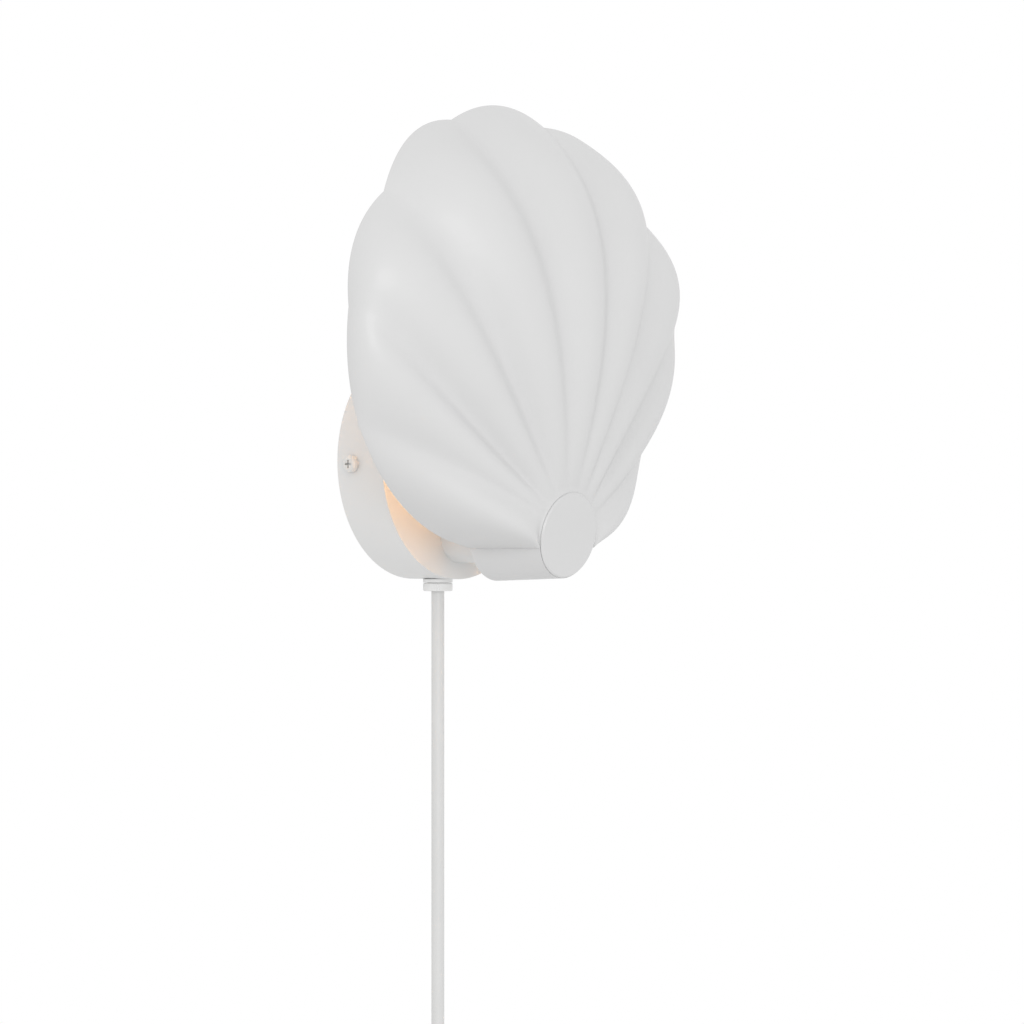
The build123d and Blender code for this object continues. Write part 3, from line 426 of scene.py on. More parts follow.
PAINT = Finish(
    "satin_white_paint", (0.61, 0.61, 0.61), (0.595, 0.595, 0.595), cloud=45, grain=1.1,
    relief=0.006, rough=(0.4, 0.48), coat=0.06,
)
CANOPY_PAINT = Finish(
    "canopy_white_paint", (0.68, 0.68, 0.675), (0.665, 0.665, 0.66), cloud=35, grain=1.0,
    relief=0.006, rough=(0.36, 0.44), coat=0.1,
)
SCREW_STEEL = Finish(
    "painted_screw", (0.70, 0.695, 0.68), (0.64, 0.635, 0.62), cloud=3, grain=0.5, relief=0.008,
    rough=(0.28, 0.4),
)
ZINC = Finish(
    "zinc_plated_steel", (0.62, 0.63, 0.64), (0.46, 0.47, 0.49), cloud=4, grain=0.35,
    relief=0.01, rough=(0.28, 0.45), metal=1.0,
)
HOLDER = Finish(
    "moulded_white_holder", (0.76, 0.755, 0.73), (0.73, 0.725, 0.70), cloud=15, grain=0.35,
    relief=0.008, rough=(0.3, 0.42), kind=Grain.SPARK,
)
CAP_ALUMINIUM = Finish(
    "lamp_cap_aluminium", (0.78, 0.78, 0.79), (0.62, 0.62, 0.64), cloud=5, grain=0.3,
    relief=0.006, rough=(0.2, 0.35), metal=1.0, stretch=(1, 1, 6),
)
OPAL = LitOpal(
    "opal_glass_lit", (0.9, 0.86, 0.78), (0.86, 0.8, 0.7), cloud=12, grain=2.0, relief=0.002,
    rough=(0.12, 0.2), coat=0.4,
)
BLOCK = Finish(
    "terminal_block_white", (0.74, 0.74, 0.72), (0.68, 0.68, 0.66), cloud=8, grain=0.4,
    relief=0.008, rough=(0.4, 0.5), kind=Grain.SPARK,
)
LEAD = Finish(
    "lead_white_sleeve", (0.76, 0.76, 0.74), (0.70, 0.70, 0.68), cloud=6, grain=0.5,
    relief=0.008, rough=(0.35, 0.5),
)
RUBBER = Finish(
    "grommet_rubber", (0.05, 0.05, 0.052), (0.03, 0.03, 0.031), cloud=5, grain=0.3,
    relief=0.015, rough=(0.6, 0.75),
)
CORE = Finish(
    "core_brown_sleeve", (0.16, 0.075, 0.04), (0.11, 0.05, 0.027), cloud=4, grain=0.4,
    relief=0.008, rough=(0.35, 0.5),
)
GLAND = Finish(
    "gland_white_nylon", (0.75, 0.75, 0.745), (0.72, 0.72, 0.715), cloud=8, grain=0.4,
    relief=0.007, rough=(0.34, 0.46), kind=Grain.SPARK,
)
CORD = Finish(
    "cord_white_sheath", (0.62, 0.62, 0.615), (0.59, 0.59, 0.585), cloud=9, grain=0.45,
    relief=0.01, rough=(0.34, 0.46), stretch=(1, 1, 0.35),
)
TIE = Finish(
    "tie_white_strap", (0.72, 0.72, 0.71), (0.64, 0.64, 0.63), cloud=5, grain=2.2,
    relief=0.06, rough=(0.65, 0.8), kind=Grain.WOVEN,
)
SWITCH = Finish(
    "switch_white_moulding", (0.77, 0.77, 0.76), (0.75, 0.75, 0.74), cloud=12, grain=0.35,
    relief=0.009, rough=(0.34, 0.44), kind=Grain.SPARK,
)
ROCKER = Finish(
    "rocker_white_gloss", (0.78, 0.78, 0.775), (0.76, 0.76, 0.755), cloud=8, grain=0.8,
    relief=0.003, rough=(0.16, 0.24), coat=0.3,
)
PLUG = Finish(
    "plug_white_moulding", (0.77, 0.77, 0.76), (0.745, 0.745, 0.735), cloud=12, grain=0.4,
    relief=0.01, rough=(0.36, 0.46), kind=Grain.SPARK,
)
BRASS = Finish(
    "plated_brass_pin", (0.80, 0.72, 0.50), (0.66, 0.58, 0.38), cloud=4, grain=0.25,
    relief=0.006, rough=(0.18, 0.32), metal=1.0, stretch=(1, 1, 4),
)
FLOOR = Finish(
    "pale_floor", (0.82, 0.82, 0.82), (0.8, 0.8, 0.8), cloud=400, grain=8, relief=0.02,
    rough=(0.6, 0.7),
)


# ---- shade


class Groove(NamedTuple):
    """A groove between two ribs, which runs from the hub to a notch in the rim.

    Attributes:
        angle: Bearing from straight up, in degrees.
        radius: Distance of the notch from the hub's axis.
        notch: Height of the notch.
        body: Height of the second control point, over the shell's body.
        lean: How far past the notch the third control point lies, at the shoulder.
        rise: Height of that point.
    """

    angle: float
    radius: float
    notch: float
    body: float
    lean: float
    rise: float


class Rib(NamedTuple):
    """A rib's swelling: its bow over its notches' chord, and its body's and shoulder's height."""

    bow: float
    body: float
    shoulder: float


@dataclass
class ShellShade:
    """Scallop shell shade: nine swelling ribs that fan out from a hub.

    Radii are from the hub's axis, and heights are above the plane of the rim. The shell's outer
    lines start at the root, and a short fairing leads them up to the end of the hub.
    """

    hub_drop: float = HUB_DROP
    hub_tilt: float = HUB_TILT
    rim_off: float = 53.5
    wall: float = 1.8
    root_radius: float = 20.3
    root_reach: float = 0.65
    seam_drop: float = 0.8
    softness: int = 5
    shoulder_out: float = 0.3
    shoulder_up: float = 0.8
    rim_thinning: float = 3.0
    fairing_start: float = 0.008
    fairing_flare: float = 0.1
    fairing_pull: float = 0.4
    crown_shift: float = 0.25
    crown_gap: float = 0.15
    hub_bore: float = 18.3
    hub_front_radius: float = 19.8
    hub_back_radius: float = 21.2
    hub_front_height: float = 38.2
    hub_back_height: float = -3.0
    slim_height: float = 21.5
    slimming: float = 0.5
    open_angle: float = 95.0
    open_blend: float = 4.0
    web_height: float = 6.5
    web: float = 3.0
    web_hole: float = 2.75
    lip: float = 0.45
    lip_share: float = 0.45
    across: int = 26
    along: int = 90
    crowding: float = 0.9
    fairing_steps: int = 14
    inside_steps: int = 102
    lip_steps: int = 4
    hub_around: int = 144
    hub_steps: int = 12
    grooves: tuple[Groove, ...] = (
        Groove(10.1, 192.3, -3.1, 61.1, -26.2, 26.6),
        Groove(29.9, 177.8, 3.3, 36.0, -16.0, 29.0),
        Groove(48.1, 152.4, 4.0, 18.0, 4.0, 24.5),
        Groove(64.6, 113.6, 0.8, 27.0, 0.0, 3.0),
        Groove(106.0, 22.5, 0.0, 45.0, 0.0, 7.0),
    )
    ribs: tuple[Rib, ...] = (
        Rib(8.4, 15.8, 15.8),
        Rib(10.1, 16.7, 14.5),
        Rib(9.0, 14.8, 9.0),
        Rib(4.0, 9.5, 9.5),
        Rib(12.4, 10.5, 5.5),
    )

    def groove_curve(self, groove: Groove) -> Array:
        """Four control points of a groove's outer line, from the hub to the rim.

        Args:
            groove: The groove.

        Returns:
            Radius and height of each point. The first height is set later, from the hub's end.
        """
        reach = groove.radius - self.root_radius
        root = (self.root_radius, 0.0)
        body = (self.root_radius + self.root_reach * reach, groove.body)
        shoulder = (groove.radius + groove.lean, groove.rise)
        return np.array([root, body, shoulder, (groove.radius, groove.notch)])

    def rib_curves(self, index: int) -> tuple[Array, Array]:
        """Outer lines of a rib, from its left groove to its right one.

        The rim runs along the chord between the two notches and bows out from it by a
        parabola. Each control point keeps its share of the way out, which blends from one
        groove to the other, and the body and the shoulder swell by the same parabola.

        Args:
            index: Number of the rib, 0 for the middle one.

        Returns:
            The angle of each line, and its four control points.
        """
        rib, right = self.ribs[index], self.grooves[index]
        left = self.grooves[index - 1] if index else right
        left_angle = math.radians(left.angle if index else -left.angle)
        right_angle = math.radians(right.angle)
        a = left.radius * np.array([math.sin(left_angle), math.cos(left_angle)])
        b = right.radius * np.array([math.sin(right_angle), math.cos(right_angle)])
        chord = b - a
        out = np.array([-chord[1], chord[0]]) / np.linalg.norm(chord)
        share = np.linspace(0, 1, self.across)[:, None]
        swell = 1 - (2 * share - 1) ** 2
        rim = a + share * chord + rib.bow * swell * out
        radius = np.hypot(rim[:, 0], rim[:, 1])
        one, two = self.groove_curve(left), self.groove_curve(right)
        near = (one[:, 0] - self.root_radius) / (left.radius - self.root_radius)
        far = (two[:, 0] - self.root_radius) / (right.radius - self.root_radius)
        blend = (1 - share) * near + share * far
        way = self.root_radius + blend * (radius - self.root_radius)[:, None]
        points = np.stack([way, (1 - share) * one[:, 1] + share * two[:, 1]], -1)
        points[:, 1, 1] += rib.body * swell[:, 0]
        points[:, 2, 0] += self.shoulder_out * rib.shoulder * swell[:, 0]
        points[:, 2, 1] += self.shoulder_up * rib.shoulder * swell[:, 0]
        angle = np.arctan2(rim[:, 0], rim[:, 1])
        points[:, 0, 1] = self.hub_top(angle, self.root_radius) - self.seam_drop
        return angle, points

    def fan_curves(self) -> tuple[Array, Array]:
        """Outer lines of the middle rib and the four to its right, with soft grooves.

        The control points of the body and the shoulder are averaged over their neighbours
        along the fan by a raised cosine bell, so the grooves are round there and sharp only at
        the notches in the rim. Left of the middle rib the fan goes on as its mirror image, and
        past its last line as its own half turn about that line.

        Returns:
            The angle of each line, and its four control points.
        """
        angles, curves = zip(*(self.rib_curves(index) for index in range(len(self.ribs))))
        angle = np.concatenate([angles[0], *(rib[1:] for rib in angles[1:])])
        curve = np.concatenate([curves[0], *(rib[1:] for rib in curves[1:])])
        count = self.softness
        bell = np.hanning(2 * count + 3)[1:-1]
        bell /= bell.sum()
        before = curve[self.across : self.across + count][::-1]
        end = curve[-1:] + (curve[-1:] - curve[-count - 1 : -1][::-1])
        whole = np.concatenate([before, curve, end])
        soft = sum(weight * whole[shift : shift + len(curve)] for shift, weight in enumerate(bell))
        soft[:, [0, 3]] = curve[:, [0, 3]]
        return angle, soft

    def inner_curves(self, outer: Array) -> Array:
        """Control points of the inner face: the outer ones moved in by the wall, with mitres.

        Each point moves along the sum of its two sides' normals, by the wall over one more
        than their cosine. The first then slides along its side to the hub's wall, and the last
        goes in level with the rim.

        Args:
            outer: Four control points of each outer line.

        Returns:
            Four control points of each inner line.
        """
        step = np.diff(outer, axis=1)
        length = np.linalg.norm(step, axis=-1, keepdims=True)
        normal = np.stack([step[..., 1], -step[..., 0]], -1) / length
        before = np.concatenate([normal[:, :1], normal], 1)
        after = np.concatenate([normal, normal[:, -1:]], 1)
        scale = self.wall / (1 + (before * after).sum(-1, keepdims=True))
        moved = outer + scale * (before + after)
        root = (self.hub_bore + self.hub_front_radius) / 2 - self.crown_shift
        slope = step[:, 0, 1] / step[:, 0, 0]
        moved[:, 0, 1] += slope * (root - moved[:, 0, 0])
        moved[:, 0, 0] = root
        edge = self.wall * length[:, 2, 0] / np.abs(step[:, 2, 1])
        moved[:, 3, 0] = outer[:, 3, 0] - np.minimum(edge, self.rim_thinning * self.wall)
        moved[:, 3, 1] = outer[:, 3, 1]
        return moved

    def hub_top(self, angle: Array, radius: float | Array) -> Array:
        """Height of the hub's tilted end at an angle in radians and a radius."""
        lean = math.tan(math.radians(self.hub_tilt))
        return self.hub_front_height + radius * np.cos(angle) * lean

    def corner(self, before: Array, at: Array, after: Array) -> Array:
        """A soft corner: a parabola from one side to the other that the corner pulls on.

        Args:
            before: A point before each corner.
            at: The corners.
            after: A point after each corner.

        Returns:
            A few points for each corner.
        """
        back, on = before - at, after - at
        size = np.minimum(np.linalg.norm(back, axis=-1), np.linalg.norm(on, axis=-1))
        size = np.minimum(self.lip_share * size, self.lip)[:, None]
        one = at + size * back / np.linalg.norm(back, axis=-1, keepdims=True)
        two = at + size * on / np.linalg.norm(on, axis=-1, keepdims=True)
        s = np.linspace(0, 1, self.lip_steps)[None, :, None]
        return (1 - s) ** 2 * one[:, None] + 2 * s * (1 - s) * at[:, None] + s**2 * two[:, None]

    def sections(self, angle: Array, outer: Array) -> Array:
        """Closed sections of the shell: up the fairing, out over the dome, and back inside.

        The fairing is a cubic curve from the hub's end to the dome's start. It leaves the end
        almost straight down and reaches the dome along the dome's own slope there.

        Args:
            angle: The angle of each section.
            outer: The four control points of each outer line.

        Returns:
            The points of each section.
        """
        cut = self.fairing_start
        whole = np.linspace(0, 1, self.along) ** self.crowding
        dome = bezier(outer, cut + (1 - cut) * whole)
        start = dome[:, 0]
        slope = 3 * (1 - cut) ** 2 * (outer[:, 1] - outer[:, 0])
        slope = slope + 6 * (1 - cut) * cut * (outer[:, 2] - outer[:, 1])
        slope = slope + 3 * cut**2 * (outer[:, 3] - outer[:, 2])
        slope /= np.linalg.norm(slope, axis=-1, keepdims=True)
        pull = 0.5 * (start[:, :1] - self.root_radius) + self.fairing_pull
        radius = np.full_like(angle, self.hub_front_radius)
        top = self.hub_top(angle, self.hub_front_radius)
        bend = [
            np.stack([radius, top], -1),
            np.stack([radius + self.fairing_flare, top - 0.5 * self.seam_drop], -1),
            start - pull * slope,
            start,
        ]
        fairing = bezier(np.stack(bend, 1), np.linspace(0, 1, self.fairing_steps))
        inner = self.inner_curves(outer)
        inside = bezier(inner, np.linspace(1, 0, self.inside_steps))
        root = inner[:, 0, 0]
        crown = np.stack([root, self.hub_top(angle, root)], -1)
        loop = [
            self.corner(crown, fairing[:, 0], fairing[:, 1]),
            fairing[:, 1:-1],
            dome[:, :-1],
            self.corner(dome[:, -2], dome[:, -1], inside[:, 0]),
            self.corner(dome[:, -1], inside[:, 0], inside[:, 1]),
            inside[:, 1:],
            crown[:, None],
        ]
        return np.concatenate(loop, 1)

    def place(self, angle: Array, points: Array) -> Array:
        """Puts points given by radius and height at an angle into the row frame.

        Across is the radius times the angle's sine, up is the radius times its cosine less the
        hub's drop, and the distance off the wall is the height over the rim's.

        Args:
            angle: The angle of each row of points, in radians.
            points: Radius and height of each point.

        Returns:
            X, Y and Z of each point.
        """
        x = points[..., 0] * np.sin(angle)
        z = points[..., 0] * np.cos(angle) - self.hub_drop
        return np.stack([x, -(self.rim_off + points[..., 1]), z], -1)

    def shell(self) -> Skin:
        """The nine ribs in one closed skin.

        The middle rib and the four to its right are worked out. The ones to the left are the
        mirror image of those to the right.

        Returns:
            The skin.
        """
        right, outer = self.fan_curves()
        right_side = self.place(right[:, None], self.sections(right, outer))
        left_side = right_side[self.across :][::-1] * np.array([-1.0, 1.0, 1.0])
        rows = np.concatenate([left_side, right_side])
        skin = Skin.grid(rows, round_columns=True)
        for end in (rows[0], rows[-1]):
            half = len(end) // 2
            skin = skin + Skin.grid(np.stack([end[:half], end[::-1][:half]], 1))
        return skin

    def hub(self) -> Skin:
        """The hub's tube, with its web across it and its tilted end.

        It is a turned profile whose upper end follows the tilted plane. On the open side the
        wall is the cone that shows, and under the ribs it draws in behind them.

        Returns:
            The closed skin.
        """
        angle = np.linspace(-np.pi, np.pi, self.hub_around, endpoint=False)[:, None]
        past = np.abs(angle) - math.radians(self.open_angle)
        open_side = np.clip(past / math.radians(self.open_blend), 0, 1)
        rise = np.linspace(0, 1, self.hub_steps)[None]
        end = self.hub_top(angle, self.hub_front_radius) - self.crown_gap
        height = self.hub_back_height + rise * (end - self.hub_back_height)
        cone = self.hub_back_radius + rise * (self.hub_front_radius - self.hub_back_radius)
        slim = self.hub_front_radius - self.slimming
        hidden = np.where(height > self.slim_height, slim, cone)
        wall = np.stack([open_side * cone + (1 - open_side) * hidden, height], -1)
        web_top = self.web_height + self.web
        inside = [
            (self.hub_bore, self.hub_top(angle, self.hub_bore) - self.crown_gap),
            (self.hub_bore, web_top),
            (self.web_hole, web_top),
            (self.web_hole, self.web_height),
            (self.hub_bore, self.web_height),
            (self.hub_bore, self.hub_back_height),
        ]
        flat = np.ones_like(angle)
        bore = np.stack([np.concatenate([r * flat, h * flat], 1) for r, h in inside], 1)
        points = self.place(angle, np.concatenate([wall, bore], 1))
        return Skin.grid(points, round_rows=True, round_columns=True)

    def build(self) -> list[Piece]:
        """Makes the shade and gives it its paint.

        Returns:
            The pieces made.
        """
        shade = (self.shell() + self.hub()).piece("shell_shade")
        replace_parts(shade, "shade")
        return [PAINT.dress(shade, "shade_white")]


@dataclass
class HubCap:
    """Disc that closes the hub, with a bright bevel round its face."""

    radius: float = 19.7
    thickness: float = 1.0
    bevel: float = 0.7
    rounding: float = 0.15
    spigot: float = 18.0
    spigot_length: float = 5.0
    gap: float = 0.06
    hub_drop: float = HUB_DROP
    seat_off: float = 91.7
    tilt: float = HUB_TILT
    around: int = 128

    def build(self) -> list[Piece]:
        """Makes the disc: a turned profile on an axis that leans by the hub's tilt.

        Returns:
            The pieces made.
        """
        lean = math.radians(self.tilt)
        axis = (0.0, -math.cos(lean), -math.sin(lean))
        profile = rounded(
            [
                (0, self.thickness, 0),
                (self.radius - self.bevel, self.thickness, self.rounding),
                (self.radius, self.thickness - self.bevel, self.rounding),
                (self.radius, 0, 0.2),
                (self.spigot, 0, 0),
                (self.spigot, -self.spigot_length, 0.4),
                (0, -self.spigot_length, 0),
            ]
        )
        origin = (0.0, -self.seat_off + self.gap * axis[1], -self.hub_drop + self.gap * axis[2])
        cap = turned(profile, origin, axis, self.around).piece("hub_disc", edges=Edge.SHARP)
        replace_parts(cap, "hub_cap")
        return [PAINT.dress(cap, "shade_white")]


@dataclass
class GlandNut:
    """Nut that grips the cord under the canopy, with a fine knurl round it."""

    bore: float = 3.15
    thread: float = 5.0
    radius: float = 6.85
    height: float = 3.8
    bevel: float = 0.45
    rounding: float = 0.1
    lip: float = 1.2
    ridges: int = 40
    ridge_depth: float = 0.22
    ridge_steps: int = 8
    place: Point = (0.0, -CORD_OFF, -60.1)

    def build(self) -> list[Piece]:
        """Makes the nut: a turned profile whose outer wall draws in between the ridges.

        The wall draws in by the ridge's depth times half of one less the cosine of the angle
        times the number of ridges.

        Returns:
            The pieces made.
        """
        face = self.radius - self.bevel
        profile = rounded(
            [
                (self.bore, 0, 0.2),
                (face, 0, self.rounding),
                (self.radius, self.bevel, self.rounding),
                (self.radius, self.height - self.bevel, self.rounding),
                (face, self.height, self.rounding),
                (self.thread, self.height, self.rounding),
                (self.thread, self.lip, 0),
                (self.bore, self.lip, 0),
            ],
            steps=3,
        )
        around = self.ridge_steps * self.ridges
        turn = np.linspace(0, 2 * np.pi, around, endpoint=False)[:, None]
        wall = (profile[:, 0] > self.radius - 0.5 * self.bevel)[None]
        swell = -self.ridge_depth * wall * (0.5 - 0.5 * np.cos(self.ridges * turn))
        nut = turned(profile, self.place, (0, 0, 1), around, swell).piece("knurled_nut")
        return [GLAND.dress(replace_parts(nut, "gland_nut"), "gland_white")]


# ---- cord


@dataclass
class PowerCord:
    """Round mains cord: straight down through the gland and the switch, then a put-away coil.

    The coil winds in on one layer and out on the other. Half turns meet on its level middle
    line, and the radius changes by half a pitch from one to the next.
    """

    radius: float = 3.0
    off: float = CORD_OFF
    top: float = CORD_TOP
    coil_height: float = -368.0
    coil_radius: float = 45.0
    pitch: float = 6.5
    layer: float = 6.6
    inward: int = 7
    per_half: int = 8
    tail: float = 24.0
    length: float = 2140.0
    carries: tuple[str, ...] = (
        "switch_lower", "switch_upper", "switch_rocker", "switch_screws",
        "plug_relief", "plug_body", "plug_pins",
    )

    def coil_points(self) -> Array:
        """Control points of the turns, eight to a half turn.

        They stand half a step from the level line and then a step apart, on the turn's radius
        divided by the cosine of half a step, so that the line touches the turn between them.

        Returns:
            The points, across, off the wall and up.
        """
        step = math.pi / self.per_half
        angle = (np.arange(self.per_half) + 0.5) * step
        wide = np.cos(angle) / math.cos(step / 2)
        tall = np.sin(angle) / math.cos(step / 2)
        points = []
        at = -self.coil_radius
        for half in range(2 * self.inward + 2):
            inner = half if half <= self.inward else 2 * self.inward - half
            radius = self.coil_radius - inner * self.pitch / 2
            down = half % 2 == 0
            end = at + (2 if down else -2) * radius
            first = self.off if half <= self.inward else self.off + self.layer
            last = self.off if half < self.inward else self.off + self.layer
            lift = math.hypot(radius, (last - first) / 2)
            x = (at + end) / 2 - wide * (end - at) / 2
            off = (first + last) / 2 - wide * (last - first) / 2
            z = self.coil_height + (-lift if down else lift) * tall
            points.append(np.stack([self.coil_radius + x, off, z], -1))
            at = end
        return np.concatenate(points)

    def route(self) -> Array:
        """Control points of the whole cord, from inside the canopy to the plug.

        Returns:
            The points, across, off the wall and up.
        """
        turns = self.coil_points()
        rise = self.coil_radius * math.tan(math.pi / (2 * self.per_half))
        start = [(0.0, self.off, self.top), (0.0, self.off, self.coil_height + rise)]
        x, off, z = turns[-1]
        end = [(x, off, 2 * self.coil_height - z), (x, off, self.coil_height - self.tail)]
        return np.concatenate([np.array(start), turns, np.array(end)])

    def build(self, pieces: Sequence[Piece]) -> list[Piece]:
        """Args:
            pieces: The separate pieces on the cord. Not used.

        Returns:
            The pieces made.
        """
        cord = smooth_tube("power_lead", self.route(), self.radius)
        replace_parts(cord, "power_cord", "cord_coil")
        return [CORD.dress(cord, "cord_white")]


@dataclass
class CoilTie:
    """Strap round the bundle of turns at the foot of the coil."""

    middle: float = 46.625
    width: float = 10.0
    thickness: float = 1.2
    inner_round: float = 0.4
    outer_round: float = 0.5
    corner: float = 2.1
    back: float = 11.2
    front: float = 24.4
    low: float = -416.3
    high: float = -389.4

    def build(self) -> list[Piece]:
        """Makes the strap: a rounded section carried round the bundle's outline.

        Returns:
            The pieces made.
        """
        half = self.width / 2
        across = rounded(
            [
                (-half, 0.0, self.inner_round),
                (-half, self.thickness, self.outer_round),
                (half, self.thickness, self.outer_round),
                (half, 0.0, self.inner_round),
            ],
            steps=4,
        )
        ring = np.stack([self.ring(float(rise)) for rise in across[:, 1]], 1)
        x = np.broadcast_to(self.middle + across[:, 0], ring.shape[:2])
        points = np.stack([x, -ring[..., 0], ring[..., 1]], -1)
        strap = Skin.grid(points, round_rows=True, round_columns=True).piece("coil_strap")
        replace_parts(strap, "coil_tie")
        return [TIE.dress(strap, "tie_white")]

    def ring(self, rise: float) -> Array:
        """Outline of the bundle, swelled outwards by a rise.

        Args:
            rise: Distance outside the bundle.

        Returns:
            Points off the wall and up.
        """
        back, front = self.back - rise, self.front + rise
        low, high = self.low - rise, self.high + rise
        corners = [(back, low), (front, low), (front, high), (back, high)]
        return rounded([(*corner, self.corner + rise) for corner in corners], steps=10)


# ---- lamp


@dataclass
class Lamp:
    """Round opal lamp with its screw cap, upright inside the shade.

    Heights in the cap are above its seat, where its contact touches the holder.
    """

    off: float = LAMP_OFF
    seat: float = 27.0
    contact_face: float = 2.4
    contact_radius: float = 3.2
    contact_height: float = 1.0
    skirt_radius: float = 5.25
    skirt_height: float = 2.5
    sleeve_start: float = 4.0
    thread_start: float = 5.0
    cap_radius: float = 6.75
    cap_length: float = 22.0
    thread_pitch: float = 2.4
    thread_depth: float = 0.45
    glass_gap: float = 0.05
    bulb_radius: float = 22.5
    bulb_length: float = 79.5
    ball_end: float = 122.0
    ball_pull: float = 4.0
    neck_top: float = 57.5
    neck_pull: float = 3.5
    ball_steps: int = 48
    shoulder_steps: int = 18
    bulb_around: int = 72
    cap_steps: int = 74
    cap_around: int = 64

    def cap_top(self) -> float:
        """Height of the cap's upper end."""
        return self.seat + self.contact_height + self.cap_length

    def bulb(self) -> Piece:
        """Glass bulb: a ball that runs down into a neck along a smooth shoulder.

        The profile is an arc from the top to the ball's end, then a cubic curve that leaves
        along the arc and comes into the neck from straight above.

        Returns:
            The bulb.
        """
        angle = np.radians(np.linspace(0, self.ball_end, self.ball_steps))
        ball = np.stack([np.sin(angle), np.cos(angle)], -1) * self.bulb_radius
        ball[:, 1] += self.seat + self.bulb_length - self.bulb_radius
        foot = ball[-1]
        slope = np.array([math.cos(angle[-1]), -math.sin(angle[-1])])
        neck = np.array([self.cap_radius, self.neck_top])
        above = neck + np.array([0.0, self.neck_pull])
        bend = np.stack([foot, foot + self.ball_pull * slope, above, neck])
        shoulder = bezier(bend[None], np.linspace(0, 1, self.shoulder_steps)[1:])[0]
        low = self.cap_top() + self.glass_gap
        profile = np.concatenate([ball, shoulder, [[self.cap_radius, low], [0.0, low]]])
        skin = turned(profile, (0, -self.off, 0), (0, 0, 1), self.bulb_around)
        glass = skin.piece("lamp_bulb")
        return OPAL.dress(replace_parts(glass, "bulb_glass"), "bulb_opal")

    def cap(self) -> Piece:
        """Screw cap: a turned sleeve whose radius follows the thread's helix, and a contact.

        The radius at an angle and a height is the sleeve's, less half the thread's depth times
        one less the cosine of the height over the pitch less the angle.

        Returns:
            The cap.
        """
        sleeve = np.linspace(self.seat + self.sleeve_start, self.cap_top(), self.cap_steps)
        contact = [
            (0.0, self.seat),
            (self.contact_face, self.seat),
            (self.contact_radius, self.seat + self.contact_height),
            (self.skirt_radius, self.seat + self.skirt_height),
        ]
        wall = np.stack([np.full_like(sleeve, self.cap_radius), sleeve], -1)
        profile = np.concatenate([contact, wall, [(0.0, sleeve[-1])]])
        angle = np.linspace(0, 2 * np.pi, self.cap_around, endpoint=False)[:, None]
        phase = 2 * np.pi * profile[None, :, 1] / self.thread_pitch - angle
        threaded = (profile[:, 1] > self.seat + self.thread_start) & (profile[:, 0] > 0)
        swell = -0.5 * self.thread_depth * (1 - np.cos(phase)) * threaded[None]
        skin = turned(profile, (0, -self.off, 0), (0, 0, 1), self.cap_around, swell)
        cap = skin.piece("lamp_cap")
        return CAP_ALUMINIUM.dress(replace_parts(cap, "bulb_base"), "cap_aluminium")

    def build(self) -> list[Piece]:
        """Makes the bulb and its cap."""
        return [self.bulb(), self.cap()]


# ---- wiring


@dataclass
class CanopyWiring:
    """Lead to the lamp and the cord's two cores, in and in front of the canopy."""

    cord_off: float = CORD_OFF
    cord_top: float = CORD_TOP
    lamp_off: float = LAMP_OFF
    block_foot: float = 6.0
    lead_drop: float = 8.0
    lead_radius: float = 2.0
    lead_top: float = 16.0
    core_radius: float = 1.1
    core_pitch: float = 1.5
    core_spread: float = 6.0
    core_straight: float = 5.0

    def build(self) -> list[Piece]:
        """Makes the lead and the cores as smooth tubes.

        Returns:
            The pieces made.
        """
        off = [self.cord_off, self.cord_off, self.lamp_off, self.lamp_off]
        z = [self.block_foot, -self.lead_drop, -self.lead_drop, self.lead_top]
        lead = smooth_tube("lamp_lead", np.stack([np.zeros(4), off, z], -1), self.lead_radius)
        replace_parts(lead, "inner_lead")
        made = [LEAD.dress(lead, "lead_white")]
        low, high = self.cord_top + self.core_straight, self.block_foot - self.core_straight
        z = [self.cord_top, low, high, self.block_foot]
        for side, name in ((-1, "supply_core_left"), (1, "supply_core_right")):
            x = side * np.array([self.core_pitch] * 2 + [self.core_spread] * 2)
            points = np.stack([x, np.full(4, self.cord_off), z], -1)
            core = smooth_tube(name, points, self.core_radius)
            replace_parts(core, "supply_cores")
            made.append(CORE.dress(core, "core_brown"))
        return made


# ---- frame nodes

# A finish, the slot of the record it stands for, and the frame's pieces that have it.
Dressing = tuple[Finish, str, tuple[str, ...]]


@dataclass
class FrameNodes:
    """Pieces of the frame whose shape stays, each with its finish."""

    dressings: tuple[Dressing, ...] = (
        (CANOPY_PAINT, "canopy_white", ("canopy", "shade_stem")),
        (SCREW_STEEL, "screw_steel", ("canopy_screws", "switch_screws")),
        (ZINC, "zinc_steel", (
            "wall_bracket", "stem_nut", "stem_washer", "shade_screw", "shade_washer",
            "lamp_bracket", "bracket_screws", "bracket_nuts", "lamp_nipple", "nipple_nut",
            "terminal_screws", "block_screw", "gland_locknut",
        )),
        (HOLDER, "holder_white", ("lampholder",)),
        (BLOCK, "block_white", ("terminal_block",)),
        (RUBBER, "grommet_rubber", ("lead_grommet",)),
        (GLAND, "gland_white", ("cord_gland",)),
        (SWITCH, "switch_white", ("switch_lower", "switch_upper")),
        (ROCKER, "rocker_white", ("switch_rocker",)),
        (PLUG, "plug_white", ("plug_relief", "plug_body")),
        (BRASS, "pin_brass", ("plug_pins",)),
    )

    def build(self) -> list[Piece]:
        """Gives every piece that stays its finish.

        Returns:
            The pieces dressed.
        """
        return [
            finish.dress(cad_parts[name], slot)
            for finish, slot, pieces in self.dressings
            for name in pieces
        ]


# ---- studio


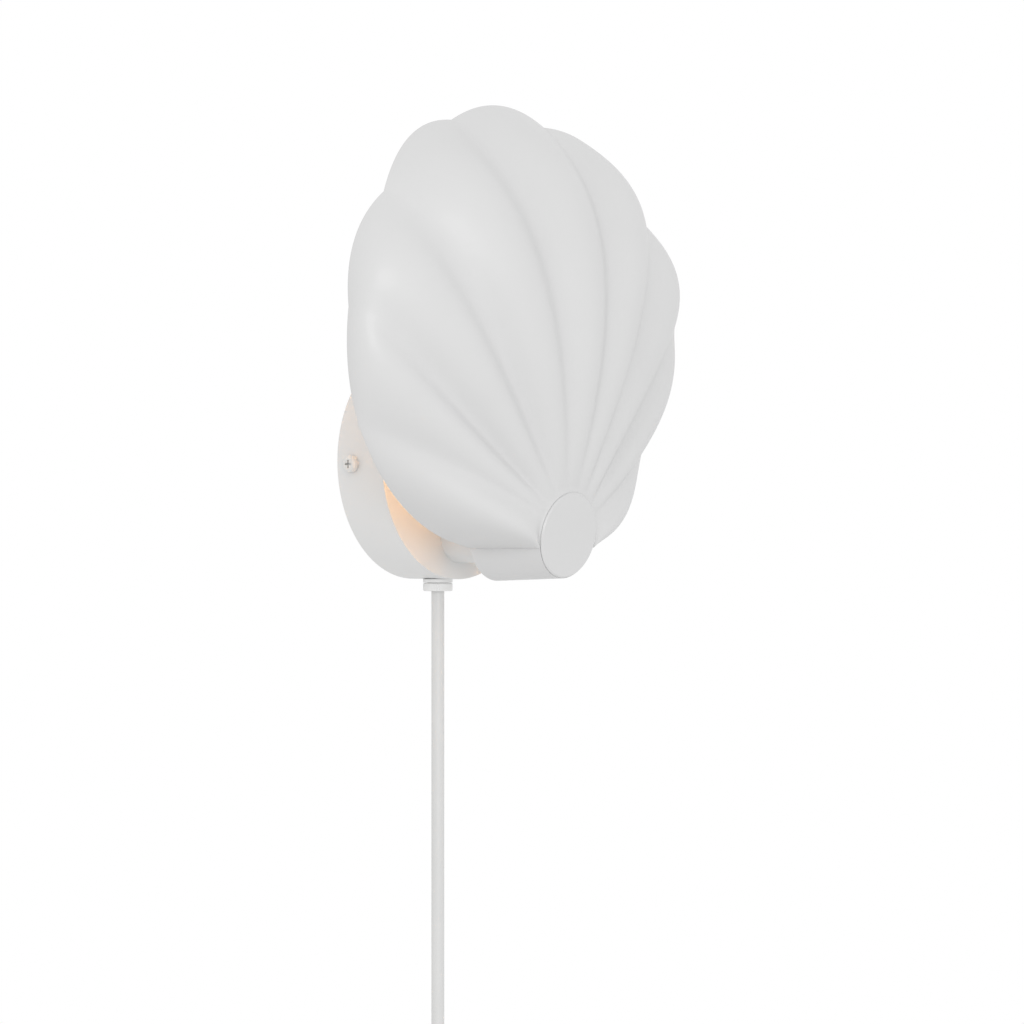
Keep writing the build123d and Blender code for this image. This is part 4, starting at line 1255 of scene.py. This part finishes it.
@dataclass
class Studio:
    """White surroundings, soft light, a pale floor below the light, and the camera. In metres."""

    key_place: Point = (-1.25, -1.42, 0.28)
    key_aim: Point = (0.0, -0.06, 0.05)
    key_size: float = 0.85
    key_power: float = 8.0
    camera_place: Point = (-1.9889, -1.6752, -0.0234)
    camera_turn: float = -50.9
    lens: float = 196.2
    sensor: float = 36.0
    floor_height: float = -0.62
    floor_half: float = 1.4
    floor_lines: int = 25
    floor_wave: float = 1e-5

    def build(self) -> None:
        """Makes the studio."""
        scene = bpy.context.scene
        scene.view_settings.view_transform = "Standard"
        world = bpy.data.worlds.new("white_surroundings")
        world.use_nodes = True
        background = world.node_tree.nodes["Background"].inputs
        background["Color"].default_value = (1, 1, 1, 1)
        background["Strength"].default_value = 1.0
        scene.world = world
        self.key_light()
        self.floor()
        self.camera()

    def key_light(self) -> None:
        """Soft square light that faces the middle of the shade.

        It turns to the aim's bearing, and tips from straight down by the angle whose cosine is
        the drop to the aim over the distance.
        """
        data = bpy.data.lights.new("key_light", "AREA")
        data.size = self.key_size
        data.energy = self.key_power
        lamp = linked("key_light", data)
        aim = np.array(self.key_aim) - np.array(self.key_place)
        turn = math.atan2(aim[1], aim[0]) - math.pi / 2
        tip = math.acos(-aim[2] / np.linalg.norm(aim))
        lamp.location = self.key_place
        lamp.rotation_euler = (tip, 0.0, turn)

    def floor(self) -> None:
        """Pale floor: a grid whose height is a sine across times a cosine along, very low."""
        side = np.linspace(-self.floor_half, self.floor_half, self.floor_lines)
        x, y = np.meshgrid(side, side, indexing="ij")
        z = self.floor_height + self.floor_wave * np.sin(9 * x) * np.cos(7 * y)
        mesh = Skin.grid(np.stack([x, y, z], -1) / MM).mesh("studio_floor")
        mesh.materials.append(FLOOR.material())
        floor = linked("studio_floor", mesh)

    def camera(self) -> None:
        """Camera at the picture's place, level and turned to the light."""
        data = bpy.data.cameras.new("camera")
        data.sensor_width = self.sensor
        data.lens = self.lens
        data.clip_start = 0.05
        data.clip_end = 50.0
        camera = linked("camera", data)
        camera.location = self.camera_place
        camera.rotation_euler = (math.pi / 2, 0.0, math.radians(self.camera_turn))
        bpy.context.scene.camera = camera


# ---- main


def main() -> None:
    """Builds the studio and the light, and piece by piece."""
    logging.basicConfig(level=logging.INFO, format="%(name)s: %(message)s")
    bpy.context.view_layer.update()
    Studio().build()
    parts = (FrameNodes(), ShellShade(), HubCap(), GlandNut(), Lamp(), CanopyWiring())
    for part in parts:
        for piece in part.build():
            log.info("%s: %s", type(part).__name__, piece.name)
    strap, cord = CoilTie().build(), PowerCord()
    on_cord = strap + [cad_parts[name] for name in cord.carries]
    for piece in strap + cord.build(on_cord):
        log.info("%s: %s", type(cord).__name__, piece.name)


if __name__ == "__main__":
    main()
